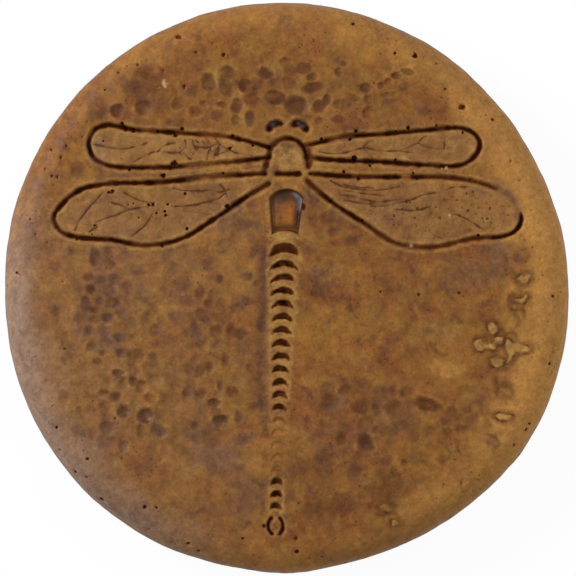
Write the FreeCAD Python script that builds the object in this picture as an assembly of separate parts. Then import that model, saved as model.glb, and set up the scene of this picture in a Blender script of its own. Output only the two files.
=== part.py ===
"""Round garden stepping stone in cast concrete, with a dragonfly pressed into its tread.

The stone is one casting. It lies on its flat bed with +Z up. The origin is the middle of the bed,
+Y points to the dragonfly's head and +X to its right wing in plan. All sizes are in millimetres.
"""

import FreeCAD
import Part
import math
import os

# Blank: a drafted disc with a flat tread and a rounded shoulder
BED_DIAMETER = 305.0
THICKNESS = 44.0
SIDE_DRAFT = 4.0
SHOULDER_RADIUS = 16.0
BED_ARRIS = 2.0

# Lines of the figure: grooves with drafted sides, a flat floor and round ends
LINE_WIDTH = 2.9
LINE_FLOOR = 1.2
LINE_DEPTH = 1.3
ARC_TOLERANCE = 0.15
CUTTER_RISE = 1.0

# Thorax: a round boss in a horseshoe groove, closed below by a straight bar
THORAX_X = 1.6
THORAX_Y = 68.5
THORAX_RADIUS = 9.5
THORAX_LEG = 5.4
THORAX_LEG_SPLAY = 12.0
WAIST_BAR_DROP = 9.0
WAIST_BAR_LENGTH = 14.6

# Eyes: two bean-shaped pits ahead of the thorax, bowed forward, angles from the body's axis
EYE_WIDTH = 4.2
EYE_FLOOR = 2.2
EYE_DEPTH = 1.7
EYE_REACH = 17.3
EYE_BOW = 1.1
EYE_NEAR_ANGLE = 11.0
EYE_FAR_ANGLE = 34.0

# Body plate: a shield-shaped pocket behind the waist bar
PLATE_GAP = 7.8
PLATE_LENGTH = 23.9
PLATE_TOP_WIDTH = 17.9
PLATE_FOOT_WIDTH = 13.6
PLATE_ARCH = 4.9
PLATE_FOOT_HOLLOW = 1.9
PLATE_DEPTH = 2.0
PLATE_FLOOR_ROUND = 1.2

# Abdomen: a tall collar pit, then crescent pits that grow smaller to the tail, shallow where worn
BODY_LEAN = 1.9
SEGMENT_COUNT = 21
SEGMENT_GAP = 4.1
COLLAR_ARCH = 7.0
FIRST_SEGMENT_PITCH = 6.9
LAST_SEGMENT_PITCH = 6.3
FIRST_SEGMENT_SPAN = 14.6
LAST_SEGMENT_SPAN = 5.8
FIRST_SEGMENT_ARCH = 4.9
LAST_SEGMENT_ARCH = 3.6
FIRST_SEGMENT_HOLLOW = 1.8
LAST_SEGMENT_HOLLOW = 1.0
SEGMENT_DEPTH = 1.5
WORN_SEGMENTS = range(13, 18)
WORN_DEPTH = 0.4

# Tail claspers: two bowed grooves
CLASPER_GAP = 4.6
CLASPER_LENGTH = 8.4
CLASPER_HALF_SPREAD = 2.0
CLASPER_BOW = 1.9
CLASPER_LINE_WIDTH = 1.8
CLASPER_FLOOR = 0.8
CLASPER_DEPTH = 0.8

# Wings: length from root to tip, width across the broadest part
FOREWING_LENGTH = 94.9
FOREWING_WIDTH = 21.7
FOREWING_RISE = 2.6
HINDWING_LENGTH = 111.6
HINDWING_WIDTH = 38.2
HINDWING_GAP = 2.9

# Wing outlines, from the leading root round the tip to the trailing root. Each point is a share of
# the wing's length outwards from its root, and a share of its width towards the head.
LEFT_FOREWING = [
    (0.00, 0.10), (0.19, 0.32), (0.47, 0.44), (0.74, 0.53), (0.90, 0.65), (0.97, 0.53), (1.00, 0.22),
    (0.975, -0.11), (0.89, -0.32), (0.66, -0.39), (0.38, -0.32), (0.12, -0.21), (0.00, -0.14),
]
RIGHT_FOREWING = [
    (0.00, 0.14), (0.21, 0.35), (0.43, 0.42), (0.67, 0.53), (0.86, 0.61), (0.94, 0.48), (0.97, 0.22),
    (0.94, -0.07), (0.855, -0.31), (0.65, -0.32), (0.41, -0.245), (0.19, -0.215), (0.00, -0.14),
]
LEFT_HINDWING = [
    (0.00, 0.00), (0.235, -0.04), (0.52, -0.12), (0.755, -0.14), (0.88, -0.225), (0.97, -0.44),
    (1.00, -0.59), (0.97, -0.77), (0.88, -0.865), (0.71, -0.905), (0.57, -0.98), (0.395, -0.89),
    (0.245, -0.63), (0.07, -0.28), (-0.02, -0.13),
]
RIGHT_HINDWING = [
    (0.00, 0.00), (0.21, -0.04), (0.435, -0.045), (0.63, -0.05), (0.805, -0.115), (0.95, -0.305),
    (1.00, -0.575), (0.975, -0.755), (0.915, -0.845), (0.76, -0.885), (0.59, -1.00), (0.405, -0.95),
    (0.255, -0.675), (0.10, -0.38), (-0.015, -0.09),
]

# Worked out from the sizes above
BED_RADIUS = BED_DIAMETER / 2
TREAD_RADIUS = BED_RADIUS - THICKNESS * math.tan(math.radians(SIDE_DRAFT))
WAIST_Y = THORAX_Y - WAIST_BAR_DROP
PLATE_TOP_Y = WAIST_Y - PLATE_GAP
PLATE_FOOT_Y = PLATE_TOP_Y - PLATE_LENGTH
FIRST_HORN_Y = PLATE_FOOT_Y - SEGMENT_GAP - COLLAR_ARCH
FOREWING_ROOT = THORAX_RADIUS
HINDWING_ROOT = (WAIST_BAR_LENGTH + LINE_WIDTH) / 2 + HINDWING_GAP


def on_tread(x, y):
    """A point on the tread."""
    return FreeCAD.Vector(x, y, THICKNESS)


def body_x(y):
    """Where the leaning body's axis lies at a given distance up the stone."""
    return THORAX_X + (y - THORAX_Y) * math.tan(math.radians(BODY_LEAN))


def blank():
    """The plain stone: a drafted disc, its shoulder rounded and its bed arris broken."""
    disc = Part.makeCone(BED_RADIUS, TREAD_RADIUS, THICKNESS)
    rounded = disc.makeFillet(SHOULDER_RADIUS, ring_edges(disc, THICKNESS))
    return rounded.makeChamfer(BED_ARRIS, ring_edges(rounded, 0.0))


def ring_edges(solid, z):
    """The circular edges of a turned solid that lie at one height."""
    return [e for e in solid.Edges if e.BoundBox.ZLength < 1e-6 and abs(e.BoundBox.ZMin - z) < 1e-6]


def straight(start, end):
    """A straight edge between two points."""
    return Part.LineSegment(start, end).toShape()


def arc(start, middle, end):
    """An arc edge through three points."""
    return Part.Arc(start, middle, end).toShape()


def smooth_line(points):
    """Tangent arcs that follow a smooth curve through points on the tread."""
    curve = Part.BSplineCurve()
    curve.interpolate([on_tread(x, y) for x, y in points])
    return [piece.toShape() for piece in curve.toBiArcs(ARC_TOLERANCE)]


def groove(line, width, floor, depth):
    """The cutting solids of a groove along a line on the tread: its run and its two round ends."""
    up = FreeCAD.Vector(0, 0, 1)
    half_floor = floor / 2
    half_mouth = width / 2 + CUTTER_RISE * (width - floor) / (2 * depth)
    first, last = line[0], line[-1]
    start, end = first.valueAt(first.FirstParameter), last.valueAt(last.LastParameter)
    start_way, end_way = first.tangentAt(first.FirstParameter), last.tangentAt(last.LastParameter)
    to_side = up.cross(start_way)
    foot, mouth = start - up * depth, start + up * CUTTER_RISE
    floor_left, floor_right = foot - to_side * half_floor, foot + to_side * half_floor
    mouth_left, mouth_right = mouth - to_side * half_mouth, mouth + to_side * half_mouth
    run = Part.BRepOffsetAPI.MakePipeShell(Part.Wire(line))
    run.setBiNormalMode(up)
    run.add(Part.makePolygon([floor_left, floor_right, mouth_right, mouth_left, floor_left]))
    run.build()
    run.makeSolid()
    cutters = [run.shape()]
    for point, way in ((start, -start_way), (end, end_way)):
        height = depth + CUTTER_RISE
        round_end = Part.makeCone(half_floor, half_mouth, height, point - up * depth, up, 180)
        round_end.rotate(point, up, math.degrees(math.atan2(way.y, way.x)) - 90)
        cutters.append(round_end)
    return cutters


def figure_line(line):
    """A groove of the width and depth that most of the figure's lines have."""
    return groove(line, LINE_WIDTH, LINE_FLOOR, LINE_DEPTH)


def thorax_grooves():
    """The horseshoe round the boss, with its two splayed legs, and the bar across the waist."""
    splay = math.radians(THORAX_LEG_SPLAY)
    bend_x, bend_y = THORAX_RADIUS * math.cos(splay), THORAX_RADIUS * math.sin(splay)
    foot_x = bend_x + (bend_y + THORAX_LEG) * math.tan(splay)

    def corner(x, y):
        return on_tread(THORAX_X + x, THORAX_Y + y)

    bend_left, bend_right = corner(-bend_x, bend_y), corner(bend_x, bend_y)
    horseshoe = [
        straight(corner(-foot_x, -THORAX_LEG), bend_left),
        arc(bend_left, corner(0, THORAX_RADIUS), bend_right),
        straight(bend_right, corner(foot_x, -THORAX_LEG)),
    ]
    half_bar = (WAIST_BAR_LENGTH - LINE_WIDTH) / 2
    bar = [straight(corner(-half_bar, -WAIST_BAR_DROP), corner(half_bar, -WAIST_BAR_DROP))]
    return figure_line(horseshoe) + figure_line(bar)


def eye_pits():
    """The two eyes, each a short fat groove along a bowed line."""
    pits = []
    for side in (-1, 1):
        points = []
        middle_angle = (EYE_NEAR_ANGLE + EYE_FAR_ANGLE) / 2
        for angle, bow in ((EYE_NEAR_ANGLE, 0), (middle_angle, EYE_BOW), (EYE_FAR_ANGLE, 0)):
            turn, reach = math.radians(angle), EYE_REACH + bow
            across, ahead = side * reach * math.sin(turn), reach * math.cos(turn)
            points.append(on_tread(THORAX_X + across, THORAX_Y + ahead))
        pits += groove([arc(*points)], EYE_WIDTH, EYE_FLOOR, EYE_DEPTH)
    return pits


def wing_groove(outline, side, length, width, root_x, root_y):
    """One wing's outline; side is -1 for a left wing and 1 for a right one."""
    points = [(THORAX_X + side * (root_x + u * length), root_y + v * width) for u, v in outline]
    return figure_line(smooth_line(points))


def wing_grooves():
    """The outlines of the four wings."""
    fore = (FOREWING_LENGTH, FOREWING_WIDTH, FOREWING_ROOT, THORAX_Y + FOREWING_RISE)
    hind = (HINDWING_LENGTH, HINDWING_WIDTH, HINDWING_ROOT, WAIST_Y)
    forewings = wing_groove(LEFT_FOREWING, -1, *fore) + wing_groove(RIGHT_FOREWING, 1, *fore)
    hindwings = wing_groove(LEFT_HINDWING, -1, *hind) + wing_groove(RIGHT_HINDWING, 1, *hind)
    return forewings + hindwings


def plate_pocket():
    """The shield-shaped pocket: an arched head, straight tapering flanks and a hollow foot."""
    half_top, half_foot = PLATE_TOP_WIDTH / 2, PLATE_FOOT_WIDTH / 2
    head_x, foot_x = body_x(PLATE_TOP_Y), body_x(PLATE_FOOT_Y)
    head_y = PLATE_TOP_Y - PLATE_ARCH
    head_left, head_right = on_tread(head_x - half_top, head_y), on_tread(head_x + half_top, head_y)
    foot_left = on_tread(foot_x - half_foot, PLATE_FOOT_Y)
    foot_right = on_tread(foot_x + half_foot, PLATE_FOOT_Y)
    outline = Part.Wire([
        arc(head_left, on_tread(head_x, PLATE_TOP_Y), head_right),
        straight(head_right, foot_right),
        arc(foot_right, on_tread(foot_x, PLATE_FOOT_Y + PLATE_FOOT_HOLLOW), foot_left),
        straight(foot_left, head_left),
    ])
    pocket = Part.Face(outline).extrude(FreeCAD.Vector(0, 0, -PLATE_DEPTH))
    floor_edges = [e for e in pocket.Edges if e.BoundBox.ZMax < THICKNESS - PLATE_DEPTH + 1e-6]
    return pocket.makeFillet(min(PLATE_FLOOR_ROUND, 0.9 * PLATE_DEPTH), floor_edges)


def taper(first, last, number):
    """A size of one abdomen segment: it shrinks fast behind the plate and slowly near the tail."""
    return last + (first - last) * (1 - number / (SEGMENT_COUNT - 1))**2


def segment_levels():
    """How far up the stone the horns of each abdomen segment lie."""
    levels = [FIRST_HORN_Y]
    for number in range(SEGMENT_COUNT - 1):
        share = number / (SEGMENT_COUNT - 1)
        pitch = FIRST_SEGMENT_PITCH + share * (LAST_SEGMENT_PITCH - FIRST_SEGMENT_PITCH)
        levels.append(levels[-1] - pitch)
    return levels


def segment_pits():
    """The crescent pits along the abdomen, horns towards the tail."""
    pits = []
    for number, horn_y in enumerate(segment_levels()):
        half = taper(FIRST_SEGMENT_SPAN, LAST_SEGMENT_SPAN, number) / 2
        rise = taper(FIRST_SEGMENT_ARCH, LAST_SEGMENT_ARCH, number) if number else COLLAR_ARCH
        hollow = taper(FIRST_SEGMENT_HOLLOW, LAST_SEGMENT_HOLLOW, number)
        depth = WORN_DEPTH if number in WORN_SEGMENTS else SEGMENT_DEPTH
        x = body_x(horn_y)
        left, right = on_tread(x - half, horn_y), on_tread(x + half, horn_y)
        crescent = Part.Wire([
            arc(left, on_tread(x, horn_y + rise), right),
            arc(right, on_tread(x, horn_y + hollow), left),
        ])
        pits.append(Part.Face(crescent).extrude(FreeCAD.Vector(0, 0, -depth)))
    return pits


def clasper_grooves():
    """The pair of bowed grooves at the end of the tail."""
    top_y = segment_levels()[-1] - CLASPER_GAP
    x = body_x(top_y)
    grooves = []
    for side in (-1, 1):
        near, far = x + side * CLASPER_HALF_SPREAD, x + side * (CLASPER_HALF_SPREAD + CLASPER_BOW)
        middle_y, end_y = top_y - CLASPER_LENGTH / 2, top_y - CLASPER_LENGTH
        line = [arc(on_tread(near, top_y), on_tread(far, middle_y), on_tread(near, end_y))]
        grooves += groove(line, CLASPER_LINE_WIDTH, CLASPER_FLOOR, CLASPER_DEPTH)
    return grooves


def stepping_stone():
    """The blank with the whole figure pressed into its tread."""
    figure = thorax_grooves() + eye_pits() + wing_grooves()
    figure += [plate_pocket()] + segment_pits() + clasper_grooves()
    return blank().cut(figure).Solids[0]


def main():
    """Writes the stone and prints what it measures."""
    os.makedirs("parts", exist_ok=True)
    stone = stepping_stone()
    stone.exportStep("parts/stepping_stone.step")
    box = stone.optimalBoundingBox()
    print(f"valid {stone.isValid()}, {len(stone.Faces)} faces, volume {stone.Volume:.0f} mm3")
    print(f"box {box.XLength:.2f} x {box.YLength:.2f} x {box.ZLength:.2f} mm")


main()
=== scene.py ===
"""Garden stepping stone: a round slab of acid-stained cast concrete with a dragonfly pressed into it.

Sizes are in millimetres and Blender's objects in metres. +Z is up from the bed and +Y is towards the
dragonfly's head. The top of the stone is worked on unrolled: a point's distance from the middle is
measured along the stone's section, so the flat tread is in plan and the shoulder and side lie round it.
"""

import logging
import math
from abc import ABC, abstractmethod
from dataclasses import dataclass, field
from enum import Enum
from itertools import product
from typing import Any, Iterable, Mapping, Sequence

import bpy
import numpy as np
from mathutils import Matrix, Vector, kdtree
from mathutils.geometry import delaunay_2d_cdt


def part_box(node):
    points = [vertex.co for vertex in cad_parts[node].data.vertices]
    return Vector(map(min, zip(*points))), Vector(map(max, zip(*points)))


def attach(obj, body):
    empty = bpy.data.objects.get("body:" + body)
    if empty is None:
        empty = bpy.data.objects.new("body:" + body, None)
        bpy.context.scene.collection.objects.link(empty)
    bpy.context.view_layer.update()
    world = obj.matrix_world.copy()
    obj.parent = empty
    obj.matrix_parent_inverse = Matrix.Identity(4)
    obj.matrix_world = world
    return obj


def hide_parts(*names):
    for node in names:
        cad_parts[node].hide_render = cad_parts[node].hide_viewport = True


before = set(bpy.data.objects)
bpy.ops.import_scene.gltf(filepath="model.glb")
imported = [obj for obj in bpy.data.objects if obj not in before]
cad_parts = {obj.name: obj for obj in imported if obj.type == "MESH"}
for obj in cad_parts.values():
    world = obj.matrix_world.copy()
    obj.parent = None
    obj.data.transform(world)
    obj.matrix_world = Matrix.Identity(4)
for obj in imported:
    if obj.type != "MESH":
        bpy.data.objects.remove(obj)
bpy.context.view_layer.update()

Array = np.ndarray
Point = tuple[float, float]
# Two sizes, or the ends of a range
Pair = tuple[float, float]
Route = tuple[Point, ...]
# A place and a radius, or three sizes that belong together
Triple = tuple[float, float, float]

MM = 0.001
NODE = "stepping_stone"
BODY = "root"
# How many heights a noise's lattice has each way, and its row that is followed along a line
LATTICE = 256
LATTICE_ROW = 7.3
# Spacing of the points along lines, arcs, fine scratches and the claspers
LINE_STEP = 0.8
ARC_STEP = 0.7
FINE_STEP = 0.6
CLASPER_STEP = 0.5
# The rows' spacing in a triangular lattice, as a share of its pitch
ROW_STEP = 0.866
# Points nearer than this are one point to the triangulation
SAME_POINT = 1e-6
EVERYWHERE = slice(None)
# The colour sockets of a mix node
MIX_UNDER, MIX_OVER, MIX_RESULT = 6, 7, 2

log = logging.getLogger("stepping_stone")


class Side(Enum):
    """Which side of the dragonfly a wing is on, as the sign of its x."""

    LEFT = -1
    RIGHT = 1


class Mark(Enum):
    """What the finish needs to know about a point of the stone, as named float attributes."""

    STAIN = "stain"
    DIMPLE = "dimple"
    SLATE_AND_SHEEN = "slate"
    VEIN = "vein"
    WING = "wing"
    POCKET = "pocket"
    POOL_AND_SHADE = "pool"
    RIM = "rim"
    BLOOM = "bloom"
    WORN_AND_HIGHLIGHT = "worn"
    CHIP = "chip"
    GLOSS = "gloss"
    PAINTED_GLINT = "glint"
    SIDE = "side"
    BED = "bed"


# A soft patch, as (middle, half sizes, mark, strength), and marks with their strengths
Cloud = tuple[Point, Point, Mark, float]
Marks = tuple[tuple[Mark, float], ...]


class Noise(Enum):
    """Smooth noises, each as the spacing of a lattice of random heights and the lattice's seed."""

    TREAD_ROLL = (42.0, 21)
    TREAD_WAVE = (13.0, 22)
    TREAD_ROUGH = (5.0, 23)
    TREAD_GRAIN = (2.2, 24)
    RIM_DRIFT = (16.0, 25)
    GREY_CLOUD = (22.0, 26)
    BED_SWEEP = (30.0, 27)
    BED_SMEAR = (26.0, 28)
    BED_GRAIN = (9.0, 29)
    OUTLINE_WAVE = (11.0, 31)
    OUTLINE_NICK = (4.0, 32)
    LINE_WIDTH = (3.4, 40)
    LINE_EDGE = (2.0, 45)
    LINE_STAIN = (8.0, 90)
    LINE_GLINT = (2.1, 80)
    PIT_EDGE = (1.7, 46)
    PIT_OUTLINE = (3.3, 48)
    PIT_STAIN = (2.2, 47)
    PLATE_FLOOR = (4.0, 76)
    PLATE_GLINT = (1.8, 79)
    BLOT_EDGE = (3.5, 74)
    BLOT_OUTLINE = (8.0, 77)
    DISH_OUTLINE = (4.2, 51)
    DISH_EDGE = (2.0, 52)
    DISH_STAIN = (3.6, 53)
    DISH_WEB = (6.0, 54)
    HOLE_EDGE = (1.3, 56)
    VEIN_STAIN = (3.6, 60)
    VEIN_EDGE = (1.6, 61)
    SCAB_OUTLINE = (2.4, 71)
    SCAB_EDGE = (1.2, 73)
    SCAB_FOOT = (3.0, 72)
    SCAB_STAIN = (2.6, 75)
    STREAK_STAIN = (6.0, 81)
    CHIP_EDGE = (1.3, 78)

    def at(self, points: Array, offset: int = 0) -> Array:
        """Heights between -1 and 1.

        Args:
            points: places on the unrolled stone, or along a line.
            offset: added to the seed, so that like things differ.
        Returns:
            One height per point.
        """
        cell, seed = self.value
        heights = np.random.default_rng(seed + offset).uniform(-1.0, 1.0, (LATTICE, LATTICE))
        scaled = points / cell
        corner = np.floor(scaled).astype(int)
        share = scaled - corner
        share = share * share * (3.0 - 2.0 * share)
        (left, low), (right, high) = (corner % LATTICE).T, ((corner + 1) % LATTICE).T
        across, up = share.T
        near = heights[left, low] * (1 - across) + heights[right, low] * across
        far = heights[left, high] * (1 - across) + heights[right, high] * across
        return near * (1 - up) + far * up


def smoothstep(low: float, high: float, value: Array) -> Array:
    """A soft step from 0 at low to 1 at high; high may be the smaller."""
    share = np.clip((value - low) / (high - low), 0.0, 1.0)
    return share * share * (3.0 - 2.0 * share)


def ridge(gap: Array, place: float, width: float) -> Array:
    """A soft bump of height 1 over a place, which falls off over a width."""
    return np.exp(-(((gap - place) / width) ** 2))


def edge_ramp(gap: Array, softness: float = 1.5) -> Array:
    """A mark's strength about an edge: a half on it, and more inside, where the gap is negative."""
    return np.clip(0.5 - gap / softness, 0.0, 1.0)


def clamped(value: Array, least: float = 0.0) -> Array:
    """Values held between a least one and 1."""
    return np.clip(value, least, 1.0)


def resample(line: Array, step: float) -> Array:
    """A polyline's points again, about step apart and with its ends kept."""
    run = np.concatenate([[0.0], np.cumsum(np.hypot(*np.diff(line, axis=0).T))])
    marks = np.linspace(0.0, run[-1], max(2, round(run[-1] / step) + 1))
    return np.column_stack([np.interp(marks, run, line[:, 0]), np.interp(marks, run, line[:, 1])])


def smooth_line(points: Sequence[Point], step: float = LINE_STEP, steps_per_span: int = 24) -> Array:
    """A smooth curve through points.

    Args:
        points: the few places that the curve passes.
        step: the spacing of the result.
        steps_per_span: how finely the curve is followed between two places.
    Returns:
        The curve as a polyline.
    """
    knots = np.array(points, dtype=float)
    knots = np.vstack([2 * knots[0] - knots[1], knots, 2 * knots[-1] - knots[-2]])
    share = np.linspace(0.0, 1.0, steps_per_span, endpoint=False)[:, None]
    pieces = []
    for before, start, end, after in zip(knots[:-3], knots[1:-2], knots[2:-1], knots[3:]):
        spans = [math.sqrt(math.dist(a, b)) for a, b in ((before, start), (start, end), (end, after))]
        onward = (end - start) / spans[1]
        leave = (start - before) / spans[0] - (end - before) / (spans[0] + spans[1]) + onward
        reach = onward - (after - start) / (spans[1] + spans[2]) + (after - end) / spans[2]
        leave, reach = leave * spans[1], reach * spans[1]
        pieces.append(
            (2 * share**3 - 3 * share**2 + 1) * start
            + (share**3 - 2 * share**2 + share) * leave
            + (3 * share**2 - 2 * share**3) * end
            + (share**3 - share**2) * reach
        )
    return resample(np.vstack(pieces + [knots[-2:-1]]), step)


def chord_circle(half: float, rise: float) -> tuple[float, float]:
    """Radius of the circle over a chord, and how far its middle lies above the chord."""
    radius = (half * half + rise * rise) / (2.0 * rise)
    return radius, rise - radius


def arc_line(middle: Point, radius: float, start: float, end: float, step: float = ARC_STEP) -> Array:
    """An arc between two angles in radians, as a polyline."""
    count = max(3, round(abs(end - start) * radius / step) + 1)
    angle = np.linspace(start, end, count)
    return np.column_stack([middle[0] + radius * np.cos(angle), middle[1] + radius * np.sin(angle)])


def arch_line(middle: Point, half: float, rise: float, grow: float) -> Array:
    """The arch over a level chord, from right to left.

    Args:
        middle: the chord's middle.
        half: half the chord.
        rise: the arch's height over it.
        grow: how far the arch is moved outwards.
    Returns:
        The arch as a polyline.
    """
    radius, up = chord_circle(half, rise)
    spread = math.asin(min(1.0, half / radius))
    if rise > radius:
        spread = math.pi - spread
    return arc_line((middle[0], middle[1] + up), radius + grow, math.pi / 2 - spread, math.pi / 2 + spread)


def ring(middle: Point, half: Point, count: int, turn: float = 0.0) -> Array:
    """Points spaced round an ellipse."""
    angle = np.arange(count) * 2 * math.pi / count
    across, up = half[0] * np.cos(angle), half[1] * np.sin(angle)
    x = middle[0] + across * math.cos(turn) - up * math.sin(turn)
    return np.column_stack([x, middle[1] + across * math.sin(turn) + up * math.cos(turn)])


def beside(line: Array, offset: float) -> Array:
    """A polyline moved sideways."""
    way = np.gradient(line, axis=0)
    way /= np.hypot(way[:, 0], way[:, 1])[:, None]
    return line + offset * np.column_stack([-way[:, 1], way[:, 0]])


def gap_to_line(points: Array, line: Array) -> tuple[Array, Array]:
    """How far points lie from a polyline.

    Args:
        points: the places asked about.
        line: the polyline.
    Returns:
        Each point's gap, and how far along the line its nearest place is.
    """
    gap, along = np.full(len(points), np.inf), np.zeros(len(points))
    run = 0.0
    for start, end in zip(line[:-1], line[1:]):
        way = end - start
        length = math.hypot(*way)
        share = np.clip((points - start) @ way / length**2, 0.0, 1.0)
        here = np.hypot(*(points - start - share[:, None] * way).T)
        nearer = here < gap
        gap[nearer] = here[nearer]
        along[nearer] = run + share[nearer] * length
        run += length
    return gap, along


def gap_to_ellipse(points: Array, middle: Point, half: Point, turn: float) -> Array:
    """Distance from an ellipse's middle, as a share of its own reach that way."""
    x, y = points[:, 0] - middle[0], points[:, 1] - middle[1]
    across = (x * math.cos(turn) + y * math.sin(turn)) / half[0]
    return np.hypot(across, (y * math.cos(turn) - x * math.sin(turn)) / half[1])


def is_inside(points: Array, outline: Array) -> Array:
    """Which points lie inside a closed outline."""
    inside = np.zeros(len(points), dtype=bool)
    for (x0, y0), (x1, y1) in zip(outline, np.roll(outline, -1, axis=0)):
        if y0 == y1:
            continue
        spans = (y0 > points[:, 1]) != (y1 > points[:, 1])
        inside ^= spans & (points[:, 0] < x0 + (points[:, 1] - y0) * (x1 - x0) / (y1 - y0))
    return inside


@dataclass(frozen=True)
class Slab:
    """The round blank and its section, from the middle of the tread out and down to the bed."""

    bed_radius: float
    thickness: float
    draft: float = math.radians(4.0)
    shoulder: float = 16.0
    arris: float = 2.0
    # The tread lies a little under the solid's, so that what stands up on it stays inside the solid's box
    sunk: float = 0.72
    # Hand casting: the outline's slow waves as (waves round the rim, height, angle of a crest)
    waves: tuple[Triple, ...] = ((2, 0.55, -71.0), (3, 0.93, -16.0), (4, 0.36, -29.0))
    # Local swells of it, as (angle, height, half width in degrees)
    swells: tuple[Triple, ...] = ((327, 1.5, 16), (270, 1.5, 7), (182, -0.8, 12), (9, 0.6, 8))
    pulled_in: float = 1.0
    ragged: float = 0.22
    # The share of the radius from which the outline's waver is felt
    waver_start: float = 0.62

    @classmethod
    def from_frame(cls) -> "Slab":
        """The blank that fills the CAD node's box."""
        low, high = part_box(NODE)
        half = (high[0] - low[0]) / 2 / MM
        return cls(bed_radius=half + cls.arris * math.tan(cls.draft), thickness=(high[2] - low[2]) / MM)

    @property
    def top(self) -> float:
        """Height of the tread."""
        return self.thickness - self.sunk

    @property
    def side_top(self) -> float:
        """Height at which the shoulder runs into the side."""
        return self.top - self.shoulder * (1 - math.sin(self.draft))

    @property
    def flat(self) -> float:
        """Radius of the flat tread."""
        at_side = self.bed_radius - self.side_top * math.tan(self.draft)
        return at_side - self.shoulder * math.cos(self.draft)

    @property
    def side_start(self) -> float:
        """Where the side starts along the section."""
        return self.flat + self.shoulder * (math.pi / 2 - self.draft)

    @property
    def arris_start(self) -> float:
        """Where the rounding at the bed starts along the section."""
        drop = self.side_top - self.arris * (1 + math.sin(self.draft))
        return self.side_start + drop / math.cos(self.draft)

    @property
    def reach(self) -> float:
        """Length of the whole section."""
        return self.arris_start + self.arris * (math.pi / 2 + self.draft)

    def section(self, path: Array) -> tuple[Array, Array, Array]:
        """Follows the section out from the middle of the tread.

        Args:
            path: distances along the section.
        Returns:
            Radius, height, and the angle of the outward normal above the horizon.
        """
        turn = np.clip((path - self.flat) / self.shoulder, 0.0, math.pi / 2 - self.draft)
        slide = np.clip(path - self.side_start, 0.0, self.arris_start - self.side_start)
        roll = np.clip((path - self.arris_start) / self.arris, 0.0, math.pi / 2 + self.draft)
        radius = np.minimum(path, self.flat) + self.shoulder * np.sin(turn) + slide * math.sin(self.draft)
        radius = radius + self.arris * (np.cos(self.draft - roll) - math.cos(self.draft))
        height = self.top - self.shoulder * (1 - np.cos(turn)) - slide * math.cos(self.draft)
        height = height + self.arris * (np.sin(self.draft - roll) - math.sin(self.draft))
        return radius, height, math.pi / 2 - turn - roll

    def unrolled(self, x: float, y: float) -> Point:
        """Where a place seen from straight above lies on the unrolled stone."""
        radius = math.hypot(x, y)
        if radius <= self.flat:
            return x, y
        path = self.flat + self.shoulder * math.asin(min(0.99, (radius - self.flat) / self.shoulder))
        return x * path / radius, y * path / radius

    def waver(self, angle: Array) -> Array:
        """How far the hand-cast outline departs from a true circle at each angle."""
        drift = np.full(angle.shape, -self.pulled_in)
        for count, height, crest in self.waves:
            drift += height * np.cos(count * (angle - math.radians(crest)))
        for middle, height, half in self.swells:
            drift += height * ridge((np.degrees(angle) - middle + 180) % 360 - 180, 0.0, half)
        rim = self.bed_radius * np.column_stack([np.cos(angle), np.sin(angle)])
        drift += self.ragged * (Noise.OUTLINE_WAVE.at(rim) - 1.0)
        return drift + 0.5 * self.ragged * (Noise.OUTLINE_NICK.at(rim) - 1.0)

    def place(self, points: Array, lift: Array) -> Array:
        """Folds unrolled points down over the section.

        Args:
            points: places on the unrolled stone.
            lift: how far each stands out from the plain section.
        Returns:
            Their places in the frame, in millimetres.
        """
        angle = np.arctan2(points[:, 1], points[:, 0])
        radius, height, tilt = self.section(np.hypot(points[:, 0], points[:, 1]))
        radius = radius + lift * np.cos(tilt)
        height = height + lift * np.sin(tilt)
        felt = smoothstep(self.waver_start * self.bed_radius, self.bed_radius, radius)
        radius = radius + self.waver(angle) * felt
        return np.column_stack([radius * np.cos(angle), radius * np.sin(angle), height])


@dataclass
class Skin:
    """The unrolled top of the stone: its points, how far each is raised, and its marks."""

    points: Array
    lift: Array = field(init=False)
    marks: dict[Mark, Array] = field(init=False)

    def __post_init__(self) -> None:
        """Starts with a plain surface."""
        self.lift = np.zeros(len(self.points))
        self.marks = {mark: np.zeros(len(self.points)) for mark in Mark}

    def near(self, shape: Array, reach: float) -> tuple[Array, Array]:
        """Numbers and places of the points within reach of a shape's box."""
        low, high = shape.min(axis=0) - reach, shape.max(axis=0) + reach
        which = np.nonzero(((self.points >= low) & (self.points <= high)).all(axis=1))[0]
        return which, self.points[which]

    def stamp(self, mark: Mark, which: Any, strength: Array) -> None:
        """Raises a mark at some points to at least a strength."""
        self.marks[mark][which] = np.maximum(self.marks[mark][which], strength)


class Relief(ABC):
    """Something pressed into the stone or standing on it."""

    def seeds(self) -> Array:
        """Points that the mesh needs to show it; a soft form needs none beyond the lattice."""
        return np.empty((0, 2))

    @abstractmethod
    def press(self, skin: Skin) -> None:
        """Shapes and marks the skin."""


@dataclass
class WornSpot:
    """A rubbed place where the pressed lines have almost gone."""

    middle: Point
    radius: float
    loss: float
    # The share of the radius within which the loss is full
    core: float = 0.45

    def kept(self, points: Array) -> Array:
        """How much of a line is left at each point."""
        gap = np.hypot(points[:, 0] - self.middle[0], points[:, 1] - self.middle[1])
        return 1.0 - self.loss * smoothstep(self.radius, self.core * self.radius, gap)


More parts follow.
